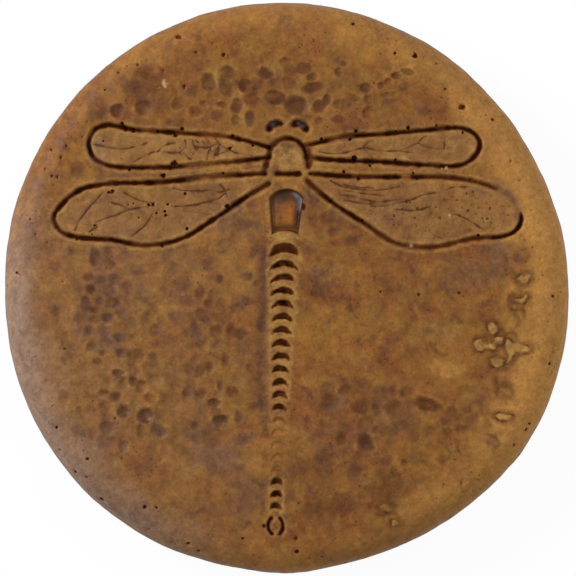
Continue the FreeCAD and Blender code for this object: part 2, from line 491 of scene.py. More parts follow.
@dataclass
class PressedLine(Relief):
    """A line pressed into the wet concrete with a blunt tool, with stain lying in it."""

    line: Array
    width: float
    floor: float
    depth: float
    unevenness: float = 0.3
    fading: float = 0.26
    stain: float = 1.0
    spread: float = 0.0
    # Sealer in the groove, and the painted glint laid on it
    gloss: float = 0.0
    seed: int = 0
    # Where the line itself is rubbed away, and where only its stain is thin
    worn: tuple[WornSpot, ...] = ()
    thin: tuple[WornSpot, ...] = ()
    # The lip that the tool raised beside it, as (height, gap from the edge, half width)
    lip: Triple = (0.16, 0.95, 0.6)
    # How far the wall runs out past the edge, and how far the edge wanders
    wall: float = 0.55
    wobble: float = 0.2
    seed_step: float = 0.9

    def seeds(self) -> Array:
        """Rows along the floor, the walls and the lips."""
        half, foot = self.width / 2, self.floor / 2
        steps = (0.0, foot, (half + foot) / 2, half, half + 0.45, half + 1.1)
        line = resample(self.line, self.seed_step)
        sides = [(step, sign) for step in steps for sign in ((1,) if step == 0 else (-1, 1))]
        return np.vstack([beside(line, sign * step) for step, sign in sides])

    def press(self, skin: Skin) -> None:
        """Sinks the line, raises its lips a little and paints them pale as a highlight, and stains it, thinly
        in places; where it has sealer, paints a glint on it.
        """
        which, points = skin.near(self.line, self.width + 2.0)
        gap, along = gap_to_line(points, self.line)
        run = np.column_stack([along, np.full(len(along), LATTICE_ROW)])
        half = self.width / 2 * (1.0 + self.unevenness * Noise.LINE_WIDTH.at(run, self.seed))
        gap = gap + self.wobble * Noise.LINE_EDGE.at(points)
        kept = np.ones(len(points))
        for spot in self.worn:
            kept = np.minimum(kept, spot.kept(points))
        sunk = smoothstep(half + self.wall, 0.35 * self.floor, gap) * kept
        rise, place, width = self.lip
        lip = ridge(gap - half, place, width) * kept
        skin.lift[which] += rise * lip - self.depth * sunk
        faded = self.fading * smoothstep(0.2, 0.75, Noise.LINE_STAIN.at(run, self.seed))
        held = self.stain * kept * (1.0 - faded)
        for spot in self.thin:
            held = held * spot.kept(points)
        skin.stamp(Mark.STAIN, which, held * edge_ramp(gap - 0.74 * half - self.spread))
        if self.gloss:
            length = float(np.hypot(*np.diff(self.line, axis=0).T).sum())
            inner = smoothstep(0.42, 0.12, np.abs(along / length - 0.5))
            inner = inner * smoothstep(0.8 * half, 0.3 * half, gap)
            skin.stamp(Mark.GLOSS, which, self.gloss * inner)
            # Painted glint: a cool highlight painted on the sealer in the middle of the groove
            patchy = clamped(0.35 + 0.9 * Noise.LINE_GLINT.at(points))
            skin.stamp(Mark.PAINTED_GLINT, which, self.gloss * inner * patchy)
        # Painted highlight: the raised lips are painted pale, where the light would catch them
        skin.stamp(Mark.WORN_AND_HIGHLIGHT, which, 0.45 * lip)


@dataclass
class Crescent(Relief):
    """One abdomen segment: a crescent pit with its horns towards the tail."""

    middle: Point
    half: float
    arch: float
    hollow: float
    depth: float
    stain: float
    # How much paler the pit's upper part is left, as painted light that offsets the shade of its upper wall
    bare: float = 0.35
    # The lip raised round it and the pale painted highlight on that edge, as (height or strength, gap, half
    # width)
    lip: Triple = (0.25, 1.0, 0.8)
    halo: Triple = (0.75, 1.2, 0.85)

    def gaps(self, points: Array) -> tuple[Array, Array]:
        """How far points lie outside the crescent, and outside its upper arc alone; inside is negative."""
        outer, outer_up = chord_circle(self.half, self.arch)
        inner, inner_up = chord_circle(self.half, self.hollow)
        x, y = points[:, 0] - self.middle[0], points[:, 1] - self.middle[1]
        above = np.hypot(x, y - outer_up) - outer
        return np.maximum(above, inner - np.hypot(x, y - inner_up)), above

    def seeds(self) -> Array:
        """Rows either side of both arcs."""
        rows = ((self.arch, (0.9, 0.4, 0.0, -0.4, -0.9)), (self.hollow, (0.4, 0.0, -0.45)))
        return np.vstack([
            arch_line(self.middle, self.half, rise, step) for rise, steps in rows for step in steps
        ])

    def press(self, skin: Skin) -> None:
        """Sinks and stains the crescent, paler in its upper part against the shade there, and paints a pale
        highlight on the lip over it.
        """
        (x, y), half = self.middle, self.half
        which, points = skin.near(np.array([(x - half, y), (x + half, y + self.arch)]), 2.5)
        gap, above = self.gaps(points)
        gap = gap + 0.36 * Noise.PIT_EDGE.at(points) + 0.3 * Noise.PIT_OUTLINE.at(points)
        skin.lift[which] -= self.depth * smoothstep(0.35, -0.8, gap)
        rise, place, width = self.lip
        skin.lift[which] += rise * ridge(gap, place, width) * min(1.0, self.depth)
        # Painted light: less stain towards the upper arc, so that the shade of the upper wall does not darken
        # it
        held = 1.0 - self.bare * smoothstep(-1.9, -0.5, above + 0.9 * Noise.PIT_STAIN.at(points))
        skin.stamp(Mark.STAIN, which, self.stain * held * edge_ramp(1.1 * gap - 0.3))
        # Painted highlight on the lip
        pale, place, width = self.halo
        skin.stamp(Mark.WORN_AND_HIGHLIGHT, which, pale * self.stain * ridge(gap, place, width))


@dataclass
class ShieldPocket(Relief):
    """The body plate: a shield-shaped pocket with an arched head and a hollow foot."""

    head: Point
    foot: Point
    half_head: float
    half_foot: float
    arch: float
    hollow: float
    depth: float
    # The height of the low dome in its floor
    dome: float = 0.95
    # The lip round it and the pale painted highlight beyond, as (height or strength, gap, half width)
    lip: Triple = (0.15, 0.9, 0.6)
    halo: Triple = (0.55, 1.6, 0.9)

    @property
    def shoulder_y(self) -> float:
        """Level at which the arched head starts."""
        return self.head[1] - self.arch

    def gap(self, points: Array) -> Array:
        """How far points lie outside the pocket; inside it is negative."""
        share = (points[:, 1] - self.foot[1]) / (self.shoulder_y - self.foot[1])
        axis = self.foot[0] + (self.head[0] - self.foot[0]) * share
        flank = np.abs(points[:, 0] - axis) - (self.half_foot + (self.half_head - self.half_foot) * share)
        round_head, head_up = chord_circle(self.half_head, self.arch)
        round_foot, foot_up = chord_circle(self.half_foot, self.hollow)
        rise = np.maximum(points[:, 1] - self.shoulder_y - head_up, 0.0)
        over = np.hypot(points[:, 0] - self.head[0], rise) - round_head
        under = round_foot - np.hypot(points[:, 0] - self.foot[0], points[:, 1] - self.foot[1] - foot_up)
        return np.maximum.reduce([flank, over, under])

    def outline(self, grow: float) -> Array:
        """The pocket's edge, moved outwards."""
        rows = [
            arch_line((self.head[0], self.shoulder_y), self.half_head, self.arch, grow),
            arch_line(self.foot, self.half_foot, self.hollow, -grow)[::-1],
        ]
        for sign in (-1, 1):
            shoulder = (self.head[0] + sign * (self.half_head + grow), self.shoulder_y)
            heel = (self.foot[0] + sign * (self.half_foot + grow), self.foot[1])
            rows.append(resample(np.array([shoulder, heel]), ARC_STEP))
        return np.vstack(rows)

    def seeds(self) -> Array:
        """Rows round the edge and the foot of the wall."""
        return np.vstack([self.outline(grow) for grow in (0.9, 0.4, 0.0, -0.4, -0.8, -1.3, -1.9)])

    def press(self, skin: Skin) -> None:
        """Sinks the pocket round a low dome."""
        (x, y), half = self.head, self.half_head
        which, points = skin.near(np.array([(x - half, self.foot[1]), (x + half, y)]), 2.5)
        gap = self.gap(points)
        bulge = self.dome * smoothstep(-1.3, -3.9, gap)
        skin.lift[which] += (bulge - self.depth) * smoothstep(0.35, -1.4, gap)
        rise, place, width = self.lip
        skin.lift[which] += rise * ridge(gap, place, width)
        self.dress(skin, which, points, gap)

    def dress(self, skin: Skin, which: Array, points: Array, gap: Array) -> None:
        """Lays stain and sealer in the pocket, thickest under its head and on its right; part of that
        darkness is painted shade, the sealer under its head carries a painted glint, the floor is more orange
        towards the right, and a pale highlight is painted round the edge.

        Args:
            skin: the stone's top.
            which: numbers of the points in and round the pocket.
            points: their places.
            gap: how far each lies outside the pocket.
        """
        half = self.half_head
        x, y = points[:, 0] - self.head[0], points[:, 1] - self.head[1]
        # Painted shade with the stain: darker under the head, on the right, on the flank and cheek, at the
        # heel and round the wall
        under_head = 0.9 * smoothstep(-10.5, -3.0, y + 0.055 * x * x)
        under_head = under_head * (0.72 + 0.28 * smoothstep(-7.0, -2.0, x))
        right = smoothstep(0.30 * half, 0.88 * half, x - 0.08 * y)
        flank = 0.35 * smoothstep(0.70 * half, 0.95 * half, 0.08 * y - x)
        cheek = 0.3 * smoothstep(0.1 * half, 0.7 * half, -x) * smoothstep(-17.0, -9.0, y)
        heel = 0.7 * smoothstep(self.foot[1] + 7.5, self.foot[1] + 3.0, points[:, 1])
        edge = (0.8 + 0.15 * smoothstep(-3.0, 3.0, x)) * smoothstep(-1.3, -0.5, gap)
        held = smoothstep(0.3, -0.3, gap)
        pooled = np.maximum.reduce([under_head, right, flank, cheek, heel, edge])
        skin.stamp(Mark.POOL_AND_SHADE, which, held * pooled)
        wet = smoothstep(-13.0, -9.0, y) * smoothstep(1.0, 5.0, x) * np.maximum(under_head, right)
        skin.stamp(Mark.GLOSS, which, 0.7 * smoothstep(-0.9, -1.5, gap) * wet)
        # Painted glint: a cool grey highlight on the wet slope under the head
        painted_glare = smoothstep(-0.6, -1.1, gap) * smoothstep(-3.3, -2.2, gap) * wet
        skin.stamp(Mark.PAINTED_GLINT, which, painted_glare * clamped(0.85 + 0.4 * Noise.PLATE_GLINT.at(points)))
        floor = smoothstep(-6.0, 1.0, x - 0.25 * (y + 14.0) + 2.5 * Noise.PLATE_FLOOR.at(points))
        skin.stamp(Mark.POCKET, which, held * (0.2 + 0.8 * floor))
        # Painted highlight: a pale band round the edge
        pale, place, width = self.halo
        skin.stamp(Mark.WORN_AND_HIGHLIGHT, which, pale * ridge(gap, place, width))


@dataclass
class Blot(Relief):
    """A soft-edged patch where one mark is stronger."""

    middle: Point
    half: Point
    mark: Mark
    strength: float
    turn: float = 0.0

    def press(self, skin: Skin) -> None:
        """Marks the patch."""
        which, points = skin.near(np.array([self.middle]), 1.4 * max(self.half))
        gap = gap_to_ellipse(points, self.middle, self.half, self.turn)
        gap = gap + 0.28 * Noise.BLOT_EDGE.at(points) + 0.22 * Noise.BLOT_OUTLINE.at(points)
        skin.stamp(self.mark, which, self.strength * smoothstep(1.15, 0.55, gap))


@dataclass
class Dimple(Relief):
    """A shallow dish left by a pebble, with darker stain in it and perhaps a grey that is partly a painted
    sky sheen.
    """

    middle: Point
    half: Point
    depth: float
    stain: float
    grey: float
    turn: float
    wet: float = 0.0
    crisp: float = 0.55
    # A crisper dish than this has rows of points along its edge
    seeded_crispness: float = 0.6
    # The low rim and the pale web round it, a painted highlight on the rim, as (share of its depth or stain,
    # gap, half width)
    rim: Triple = (0.22, 1.12, 0.2)
    web: Triple = (0.5, 1.22, 0.17)

    @property
    def radius(self) -> float:
        """Its mean radius."""
        return math.sqrt(self.half[0] * self.half[1])

    def seeds(self) -> Array:
        """Rows either side of a crisp dish's edge; the lattice is fine enough for the others."""
        rows = [super().seeds()]
        for share in (0.84, 1.02, 1.22) if self.crisp > self.seeded_crispness else ():
            count = max(9, round(2 * math.pi * share * self.radius / 0.85))
            rows.append(ring(self.middle, (share * self.half[0], share * self.half[1]), count, self.turn))
        return np.vstack(rows)

    def press(self, skin: Skin) -> None:
        """Sinks the dish under a low rim; where two meet, the deeper holds and a pale web of painted
        highlight is left.
        """
        which, points = skin.near(np.array([self.middle]), 1.9 * max(self.half))
        wander = 0.22 * Noise.DISH_OUTLINE.at(points) + 0.07 * Noise.DISH_EDGE.at(points)
        gap = gap_to_ellipse(points, self.middle, self.half, self.turn) * (1.0 + wander)
        dish = self.depth * clamped(1.0 - gap**2) ** 0.8
        share, place, width = self.rim
        rim = share * self.depth * ridge(gap, place, width)
        skin.lift[which] = np.minimum(skin.lift[which] + rim, np.where(dish > 0, rim - dish, np.inf))
        # Painted highlight: a pale web on the dish's rim
        share, place, width = self.web
        web = ridge(gap, place, width) * clamped(0.5 + 0.8 * Noise.DISH_WEB.at(points))
        skin.marks[Mark.WORN_AND_HIGHLIGHT][which] *= smoothstep(0.8, 1.08, gap)
        bare = 1.0 - clamped(1.8 * skin.marks[Mark.DIMPLE][which] - 0.4)
        skin.stamp(Mark.WORN_AND_HIGHLIGHT, which, share * self.crisp * self.stain * web * bare)
        inside = smoothstep(1.34 - 0.2 * self.crisp, 0.42 + 0.3 * self.crisp, gap)
        patchy = 0.92 + 0.4 * Noise.DISH_STAIN.at(points)
        skin.stamp(Mark.DIMPLE, which, clamped(self.stain * patchy) * inside)
        # Grey-violet stain, partly a painted sky sheen in the dish
        skin.stamp(Mark.SLATE_AND_SHEEN, which, self.grey * patchy * smoothstep(1.3, 0.6, gap))
        skin.stamp(Mark.GLOSS, which, self.wet * smoothstep(1.0, 0.6, gap))


@dataclass
class Pinhole(Relief):
    """An air hole that the casting left."""

    middle: Point
    radius: float
    depth: float
    stain: float

    def seeds(self) -> Array:
        """A middle, and rings at the floor, the edge and just outside."""
        rings = [np.array([self.middle])]
        for share, count in ((0.5, 6), (0.95, 9), (1.35, 10)):
            rings.append(ring(self.middle, (share * self.radius, share * self.radius), count))
        return np.vstack(rings)

    def press(self, skin: Skin) -> None:
        """Sinks and darkens the hole."""
        which, points = skin.near(np.array([self.middle]), 2.0 * self.radius)
        gap = gap_to_ellipse(points, self.middle, (self.radius, self.radius), 0.0)
        gap = gap * (1.0 + 0.35 * Noise.HOLE_EDGE.at(points))
        skin.lift[which] -= self.depth * smoothstep(1.15, 0.45, gap)
        skin.stamp(Mark.STAIN, which, self.stain * smoothstep(1.35, 0.75, gap))


@dataclass
class Chip(Relief):
    """A bright grain of aggregate that shows at the surface."""

    middle: Point
    radius: float
    rise: float = 0.25

    def seeds(self) -> Array:
        """A middle and two rings."""
        rings = [ring(self.middle, (size, size), 7) for size in (self.radius, 1.5 * self.radius)]
        return np.vstack([np.array([self.middle]), *rings])

    def press(self, skin: Skin) -> None:
        """Raises and brightens the grain."""
        which, points = skin.near(np.array([self.middle]), 2.0 * self.radius)
        gap = gap_to_ellipse(points, self.middle, (self.radius, self.radius), 0.0)
        gap = gap * (1.0 + 0.5 * Noise.CHIP_EDGE.at(points))
        skin.lift[which] += self.rise * smoothstep(1.3, 0.4, gap)
        skin.stamp(Mark.CHIP, which, smoothstep(1.25, 0.6, gap))


@dataclass
class Vein(Relief):
    """A hair-fine scratched vein of a wing."""

    line: Array
    seed: int
    width: float = 1.0
    depth: float = 0.25
    stain: float = 0.9
    seed_step: float = 0.8

    def seeds(self) -> Array:
        """Three rows along the scratch."""
        line = resample(self.line, self.seed_step)
        return np.vstack([line, beside(line, 0.5 * self.width), beside(line, -0.5 * self.width)])

    def press(self, skin: Skin) -> None:
        """Sinks and darkens the scratch, unevenly along its length."""
        which, points = skin.near(self.line, 2.0)
        gap, along = gap_to_line(points, self.line)
        gap = gap + 0.2 * Noise.VEIN_EDGE.at(points)
        run = np.column_stack([along, np.zeros(len(along))])
        strength = 0.78 + 0.42 * Noise.VEIN_STAIN.at(run, self.seed)
        here = clamped(1.15 - gap / (0.75 * self.width)) * clamped(strength, 0.42)
        skin.lift[which] -= self.depth * here
        skin.stamp(Mark.VEIN, which, self.stain * here)


@dataclass
class Scab(Relief):
    """A scab of paler skin that stands a little proud where the surface has peeled round it."""

    outline: Array
    pale: float
    rise: float = 0.36
    undercut: float = 0.28

    @property
    def closed(self) -> Array:
        """The outline back to its first point."""
        return np.vstack([self.outline, self.outline[:1]])

    def seeds(self) -> Array:
        """Rows at its foot, its edge and its top."""
        return np.vstack([beside(self.closed, step) for step in (-1.3, -0.8, -0.35, 0.0, 0.4, 0.9)])

    def press(self, skin: Skin) -> None:
        """Raises and pales the scab, with a dark line at its foot."""
        which, points = skin.near(self.outline, 3.0)
        gap, _ = gap_to_line(points, self.closed)
        gap = np.where(is_inside(points, self.outline), -gap, gap)
        gap = gap + 0.55 * Noise.SCAB_OUTLINE.at(points) + 0.35 * Noise.SCAB_EDGE.at(points)
        foot = ridge(gap, 0.7, 0.5) * clamped(0.55 + 0.9 * Noise.SCAB_FOOT.at(points))
        skin.lift[which] += self.rise * self.pale * smoothstep(0.45, -0.5, gap) - self.undercut * foot
        patchy = 0.8 + 0.4 * Noise.SCAB_STAIN.at(points)
        skin.stamp(Mark.WORN_AND_HIGHLIGHT, which, self.pale * patchy * smoothstep(0.2, -0.7, gap))
        skin.stamp(Mark.VEIN, which, 0.75 * foot)
        skin.stamp(Mark.DIMPLE, which, 0.6 * ridge(gap, 1.2, 1.5))


@dataclass
class Streak(Relief):
    """A soft ridge or trough along a line, or only a smear of stain."""

    line: Array
    width: float
    rise: float
    marks: Marks

    def press(self, skin: Skin) -> None:
        """Lifts or sinks the streak and marks it, patchily."""
        which, points = skin.near(self.line, 2.0 * self.width)
        gap, _ = gap_to_line(points, self.line)
        here = ridge(gap, 0.0, 0.6 * self.width) * clamped(0.8 + 0.5 * Noise.STREAK_STAIN.at(points), 0.45)
        skin.lift[which] += self.rise * here
        for mark, strength in self.marks:
            skin.stamp(mark, which, strength * here)


@dataclass
class Wing(Relief):
    """The smoother, paler field inside a wing's outline."""

    outline: Array
    sunk: float = 0.22
    # How much of what lies under the wing is smoothed away
    flattened: float = 0.8

    def press(self, skin: Skin) -> None:
        """Flattens what lies under the wing and marks it."""
        which, points = skin.near(self.outline, 1.0)
        gap, _ = gap_to_line(points, self.outline)
        share = np.where(is_inside(points, self.outline), smoothstep(0.0, 3.0, gap), 0.0)
        skin.lift[which] *= 1.0 - self.flattened * share
        skin.lift[which] -= self.sunk * share
        skin.stamp(Mark.WING, which, share)


@dataclass(frozen=True)
class Dragonfly:
    """The figure pressed into the tread, at the solid's own sizes."""

    line_width: float = 2.9
    line_floor: float = 1.2
    line_depth: float = 1.3
    # How much stain lies in the four wings' outlines, the horseshoe and the bar
    line_stains: tuple[float, ...] = (1.06, 1.06, 1.06, 1.06, 1.0, 1.25)
    thorax: Point = (1.6, 68.5)
    thorax_radius: float = 9.5
    thorax_leg: float = 5.4
    leg_splay: float = math.radians(12.0)
    bar_drop: float = 9.0
    bar_length: float = 14.6
    eye_reach: float = 17.3
    eye_bow: float = 1.1
    eye_angles: Pair = (11.0, 34.0)
    eye_width: float = 4.2
    eye_floor: float = 2.2
    eye_depth: float = 1.7
    eye_gloss_and_glint: float = 0.4
    eye_points: int = 9
    eye_seed: int = 20
    plate_gap: float = 7.8
    plate_length: float = 23.9
    plate_widths: Pair = (17.9, 13.6)
    plate_arch: float = 4.9
    plate_hollow: float = 1.9
    plate_depth: float = 2.0
    lean: float = math.radians(1.9)
    segments: int = 21
    segment_gap: float = 4.1
    collar_arch: float = 7.0
    collar_stain: float = 0.82
    pitches: Pair = (6.9, 6.3)
    spans: Pair = (14.6, 5.8)
    arches: Pair = (4.9, 3.6)
    hollows: Pair = (1.8, 1.0)
    segment_depth: float = 1.5
    segment_stains: Pair = (0.84, 1.0)
    segment_seed: int = 8
    worn_segments: range = range(13, 18)
    worn_depth: float = 0.4
    worn_stains: tuple[float, ...] = (0.52, 0.14, 0.06, 0.22, 0.45)
    clasper_gap: float = 4.6
    clasper_length: float = 8.4
    clasper_half_spread: float = 2.0
    clasper_bow: float = 1.9
    clasper_width: float = 1.8
    clasper_floor: float = 0.8
    clasper_depth: float = 0.8
    clasper_fading: float = 0.1
    clasper_stain_spread: float = 0.3
    clasper_seed: int = 30
    forewing: Pair = (94.9, 21.7)
    forewing_rise: float = 2.6
    hindwing: Pair = (111.6, 38.2)
    hindwing_gap: float = 2.9
    left_forewing: Route = (
        (0.00, 0.10), (0.19, 0.32), (0.47, 0.44), (0.74, 0.53), (0.90, 0.65), (0.97, 0.53), (1.00, 0.22),
        (0.975, -0.11), (0.89, -0.32), (0.66, -0.39), (0.38, -0.32), (0.12, -0.21), (0.00, -0.14),
    )
    right_forewing: Route = (
        (0.00, 0.14), (0.21, 0.35), (0.43, 0.42), (0.67, 0.53), (0.86, 0.61), (0.94, 0.48), (0.97, 0.22),
        (0.94, -0.07), (0.855, -0.31), (0.65, -0.32), (0.41, -0.245), (0.19, -0.215), (0.00, -0.14),
    )
    left_hindwing: Route = (
        (0.00, 0.00), (0.235, -0.04), (0.52, -0.12), (0.755, -0.14), (0.88, -0.225), (0.97, -0.44),
        (1.00, -0.59), (0.97, -0.77), (0.88, -0.865), (0.71, -0.905), (0.57, -0.98), (0.395, -0.89),
        (0.245, -0.63), (0.07, -0.28), (-0.02, -0.13),
    )
    right_hindwing: Route = (
        (0.00, 0.00), (0.21, -0.04), (0.435, -0.045), (0.63, -0.05), (0.805, -0.115), (0.95, -0.305),
        (1.00, -0.575), (0.975, -0.755), (0.915, -0.845), (0.76, -0.885), (0.59, -1.00), (0.405, -0.95),
        (0.255, -0.675), (0.10, -0.38), (-0.015, -0.09),
    )
    # Fine scratches inside the wings, each through a few places
    veins: tuple[Route, ...] = (
        ((-101, 75.5), (-95, 74.3), (-90, 73.3), (-84, 72.8), (-77, 74), (-71.5, 75.6)),
        ((-79, 65.5), (-76, 67.5), (-72, 69), (-69, 70.8), (-60, 70.8), (-55, 70.3), (-49, 67)),
        ((-66, 71), (-63, 74), (-58, 75.6)), ((-52, 77), (-51.5, 74), (-55, 70.5)),
        ((-46.5, 77), (-44, 74.5), (-45.5, 72.5)),
        ((-45, 72.8), (-39, 73.5), (-36, 75), (-33, 74), (-29, 72.6), (-27.5, 73.6)),
        ((-29, 72), (-25, 70.4), (-17, 69)),
        ((-41, 78), (-39.4, 76), (-38.5, 73.5), (-40, 70), (-40.6, 66.8)),
        ((-36, 77.8), (-34, 74.5), (-35, 70.5)),
        ((-110, 30), (-108.5, 34), (-105, 39), (-101.5, 43), (-98, 46.5), (-95, 50)),
        ((-98, 34.5), (-93, 36.5), (-88, 38), (-82, 40.5), (-71, 42.6)),
        ((-80, 27), (-76, 30), (-72.5, 33), (-69, 38.8)), ((-84, 50), (-79, 47), (-73, 45), (-69, 44.4)),
        ((-58, 52), (-53, 51), (-45, 50.5), (-39, 51), (-33, 50), (-29, 51.5)),
        ((-57, 42.5), (-50, 42.8), (-44, 44), (-38, 45.5), (-34, 47), (-31, 49.5)),
        ((-53, 40.5), (-48, 39.5), (-38, 38.4)), ((-33.5, 53.8), (-31, 51), (-30, 48)),
        ((-90, 44.5), (-85, 43), (-80, 40.6)),
        ((18, 71), (24, 70), (31, 70.5), (37, 72), (41, 73.5), (43.5, 76), (46, 77)),
        ((41, 73), (43.5, 70.5), (46, 67)),
        (
            (41, 73.5), (47, 72), (55, 71.3), (61, 72), (66, 74), (69.5, 75.5), (74, 73.8), (79, 73),
            (84, 72.8), (88, 74),
        ),
        ((69.5, 75.5), (71.5, 78), (74.5, 79.6)), ((83.6, 73), (83.8, 76.4)), ((60, 71.2), (67.5, 70.6)),
        ((24, 56), (29, 53.5), (36, 52), (44, 51), (53, 51.5), (60, 53)),
        ((28, 48.5), (34, 48), (40, 46.5), (47, 45), (63, 46.5)),
        ((45, 42.5), (53, 43), (60, 44.5), (66, 46), (72, 48.5), (80, 50), (88, 52.5), (97, 53)),
        ((31, 46), (38, 44.5), (46, 43.6)), ((30, 51), (40, 49.4), (52, 48.2)),
        ((58, 41), (68, 40.4), (76, 42.4)),
        ((88, 38.6), (91, 37.8), (96, 35.5), (101, 32.5), (104, 30.5)),
        ((75, 30.5), (78, 27.5), (82, 26)), ((-60.6, 75.6), (-57, 75.3)),
        ((-48, 76.8), (-47.4, 74.4), (-45.4, 72.2)), ((-52.6, 70.4), (-50.4, 68.4), (-48.6, 67)),
        ((-33.4, 74.8), (-36.4, 71), (-37, 67.4)), ((-60.4, 70.4), (-56.6, 69.6)),
        ((-40.6, 73), (-43.6, 73.4), (-46.8, 72.8)), ((-36.6, 69.4), (-32, 70.6), (-28.4, 72.4)),
        ((-43, 76.4), (-40.8, 74.4)), ((-102, 29.4), (-98, 32)), ((31, 54), (38, 52.6), (46, 52.2)),
    )
    worn_spots: tuple[WornSpot, ...] = (
        WornSpot((118.3, 47.2), 10.6, 0.93), WornSpot((63.6, 57.5), 4.0, 0.6),
        WornSpot((121.5, 42.0), 6.0, 0.7),
    )
    # Where the lines keep their depth but the stain in them is thin and brown
    thin_spots: tuple[WornSpot, ...] = (
        WornSpot((72, 16), 46, 0.34), WornSpot((104, 57), 12, 0.36), WornSpot((-38, 66), 20, 0.36),
        WornSpot((-38, 79.5), 9, 0.3), WornSpot((-71, 82.5), 6, 0.42), WornSpot((28, 78), 8, 0.2),
        WornSpot((-42, 58.5), 14, 0.25), WornSpot((-10.5, 64), 6, 0.15), WornSpot((12.4, 66), 6, 0.22),
        WornSpot((-14, 53), 9, 0.32), WornSpot((15, 53), 9, 0.32),
    )
    # Knots and air holes along the lines, as (x, y, radius), with their shares of it and their stain
    knot_radius: float = 0.88
    knot_depth: float = 0.8
    knot_stain: float = 0.9
    knots: tuple[Triple, ...] = (
        (-85, 86, 1.1), (-83, 83.6, 1.5), (-79, 82.5, 1.4), (-66, 81.6, 1.1), (-53.5, 83, 1.2),
        (-57, 79.6, 1.0), (-27, 79, 1.1), (-81, 61.9, 0.8), (-57.5, 65, 1.7), (-59.5, 62.3, 1.0),
        (-16.5, 74.5, 0.9), (-95, 77, 0.8), (-28.5, 73, 1.1), (-112, 48.6, 0.7), (-64, 22, 0.8),
        (-51, 31, 1.1), (-30, 42.6, 1.2), (-109, 25.6, 0.7), (-100.5, 28, 0.6), (-63.4, 58.8, 1.3),
        (-32, 60, 0.8), (-81.5, 43.5, 0.7), (-79, 44, 0.7), (-76, 36.5, 0.6), (-99, 33, 0.6),
        (-92, 50.2, 0.7), (-90, 50.5, 0.7), (-52, 49, 1.0), (-66.8, 39, 0.9), (-62.4, 40, 1.0),
        (-62.2, 38, 0.9), (-71, 43.4, 1.0), (-68.8, 43.6, 0.8), (-61, 43.6, 0.8), (37.5, 81.7, 1.0),
        (64.3, 83.5, 1.2), (19, 77.7, 0.8), (80, 85.2, 0.7), (34, 77.6, 1.1), (94, 82, 0.9),
        (36.6, 67.8, 1.7), (57.5, 67.2, 0.7), (58, 81.6, 0.6), (44.5, 63.9, 0.8), (31, 60.8, 1.1),
        (38.5, 57.1, 1.2), (67, 60, 0.8), (69, 57, 0.9), (40.5, 35.3, 0.9), (101, 27.6, 1.1),
    )
    # Smaller and paler holes on the right hindwing
    prick_radius: float = 0.9
    prick_depth: float = 0.3
    prick_stain: float = 0.5
    pricks: tuple[Triple, ...] = (
        (81, 36.6, 1.1), (96, 40.4, 0.9), (65.5, 44.6, 1.1), (63.6, 44.6, 0.8), (83.4, 46, 0.8),
        (90, 45.8, 0.8), (95.4, 49.4, 0.9), (106, 44, 0.7), (107.8, 41.6, 0.9), (106.2, 36.2, 0.9),
        (103.4, 36.4, 0.7), (101.8, 42, 0.6), (100, 38.4, 0.6), (79, 42, 0.8), (74, 42, 0.6),
        (69.4, 41.4, 0.9), (61.4, 41, 0.8), (61.2, 36.6, 0.7), (56.6, 33, 0.7), (69, 32, 0.6),
        (57, 37.6, 0.6), (88, 47.6, 0.6), (68, 36.4, 0.7), (76.4, 39, 0.6), (92.4, 41.6, 0.6),
        (50, 40, 0.5),
    )
    # Pin-sized holes scattered over each wing, and how far from its outline they keep
    dot_counts: tuple[int, ...] = (5, 5, 14, 130)
    dot_tries: int = 9
    dot_margin: float = 3.0
    dot_radii: Pair = (0.28, 0.45)
    dot_depth: float = 0.2
    dot_stains: Pair = (0.25, 0.5)
    dot_seed: int = 12
    # Rubbed and washed places, and a pale painted highlight in the left forewing's tip, as (middle, half
    # sizes, mark, strength)
    blots: tuple[Cloud, ...] = (
        ((1.6, 68.0), (8.5, 8.5), Mark.WORN_AND_HIGHLIGHT, 0.75), ((0.3, 24.8), (5.0, 5.0), Mark.WORN_AND_HIGHLIGHT, 0.8),
        ((-98, 72), (7, 7), Mark.BLOOM, 0.45), ((-1.6, 37), (1.6, 1.6), Mark.STAIN, 0.42),
        ((3.6, 42.2), (1.4, 1.8), Mark.STAIN, 0.38), ((9.7, 42.5), (1.5, 2.0), Mark.STAIN, 0.85),
        ((-97, 41), (15, 10), Mark.SLATE_AND_SHEEN, 0.35), ((60, 40), (20, 8), Mark.SLATE_AND_SHEEN, 0.34),
        ((66, 38), (44, 14), Mark.DIMPLE, 0.16), ((-72, 38), (40, 12), Mark.DIMPLE, 0.09),
    )
    # The thick legs of the horseshoe, the worn wing tip and the pale edges of the abdomen, as
    # (line, width, rise, marks)
    streaks: tuple[tuple[Route, float, float, Marks], ...] = (
        (((-7.2, 74), (-9.6, 68), (-10, 62)), 4.8, 0.0, ((Mark.STAIN, 0.66), (Mark.SLATE_AND_SHEEN, 0.6))),
        (((10.6, 75.5), (12.6, 69), (12.8, 61)), 4.8, 0.0, ((Mark.STAIN, 0.62),)),
        (
            ((112, 53.5), (118.2, 49), (121.8, 43.5), (123, 38)), 5.2, -0.3,
            ((Mark.SLATE_AND_SHEEN, 0.95), (Mark.DIMPLE, 0.4)),
        ),
        (
            ((-8.4, 22), (-8.2, 0), (-8.4, -25), (-8, -50), (-7.6, -72), (-7.7, -98)), 1.3, 0.12,
            ((Mark.WORN_AND_HIGHLIGHT, 0.4),),
        ),
        (
            ((8.6, 21), (6.8, 0), (5, -25), (3.2, -50), (2.2, -72), (1.6, -98)), 1.3, 0.12,
            ((Mark.WORN_AND_HIGHLIGHT, 0.22),),
        ),
    )

    @property
    def waist_y(self) -> float:
        """Level of the bar across the waist."""
        return self.thorax[1] - self.bar_drop

    def body_x(self, y: float) -> float:
        """Where the leaning body's axis lies at a level."""
        return self.thorax[0] + (y - self.thorax[1]) * math.tan(self.lean)

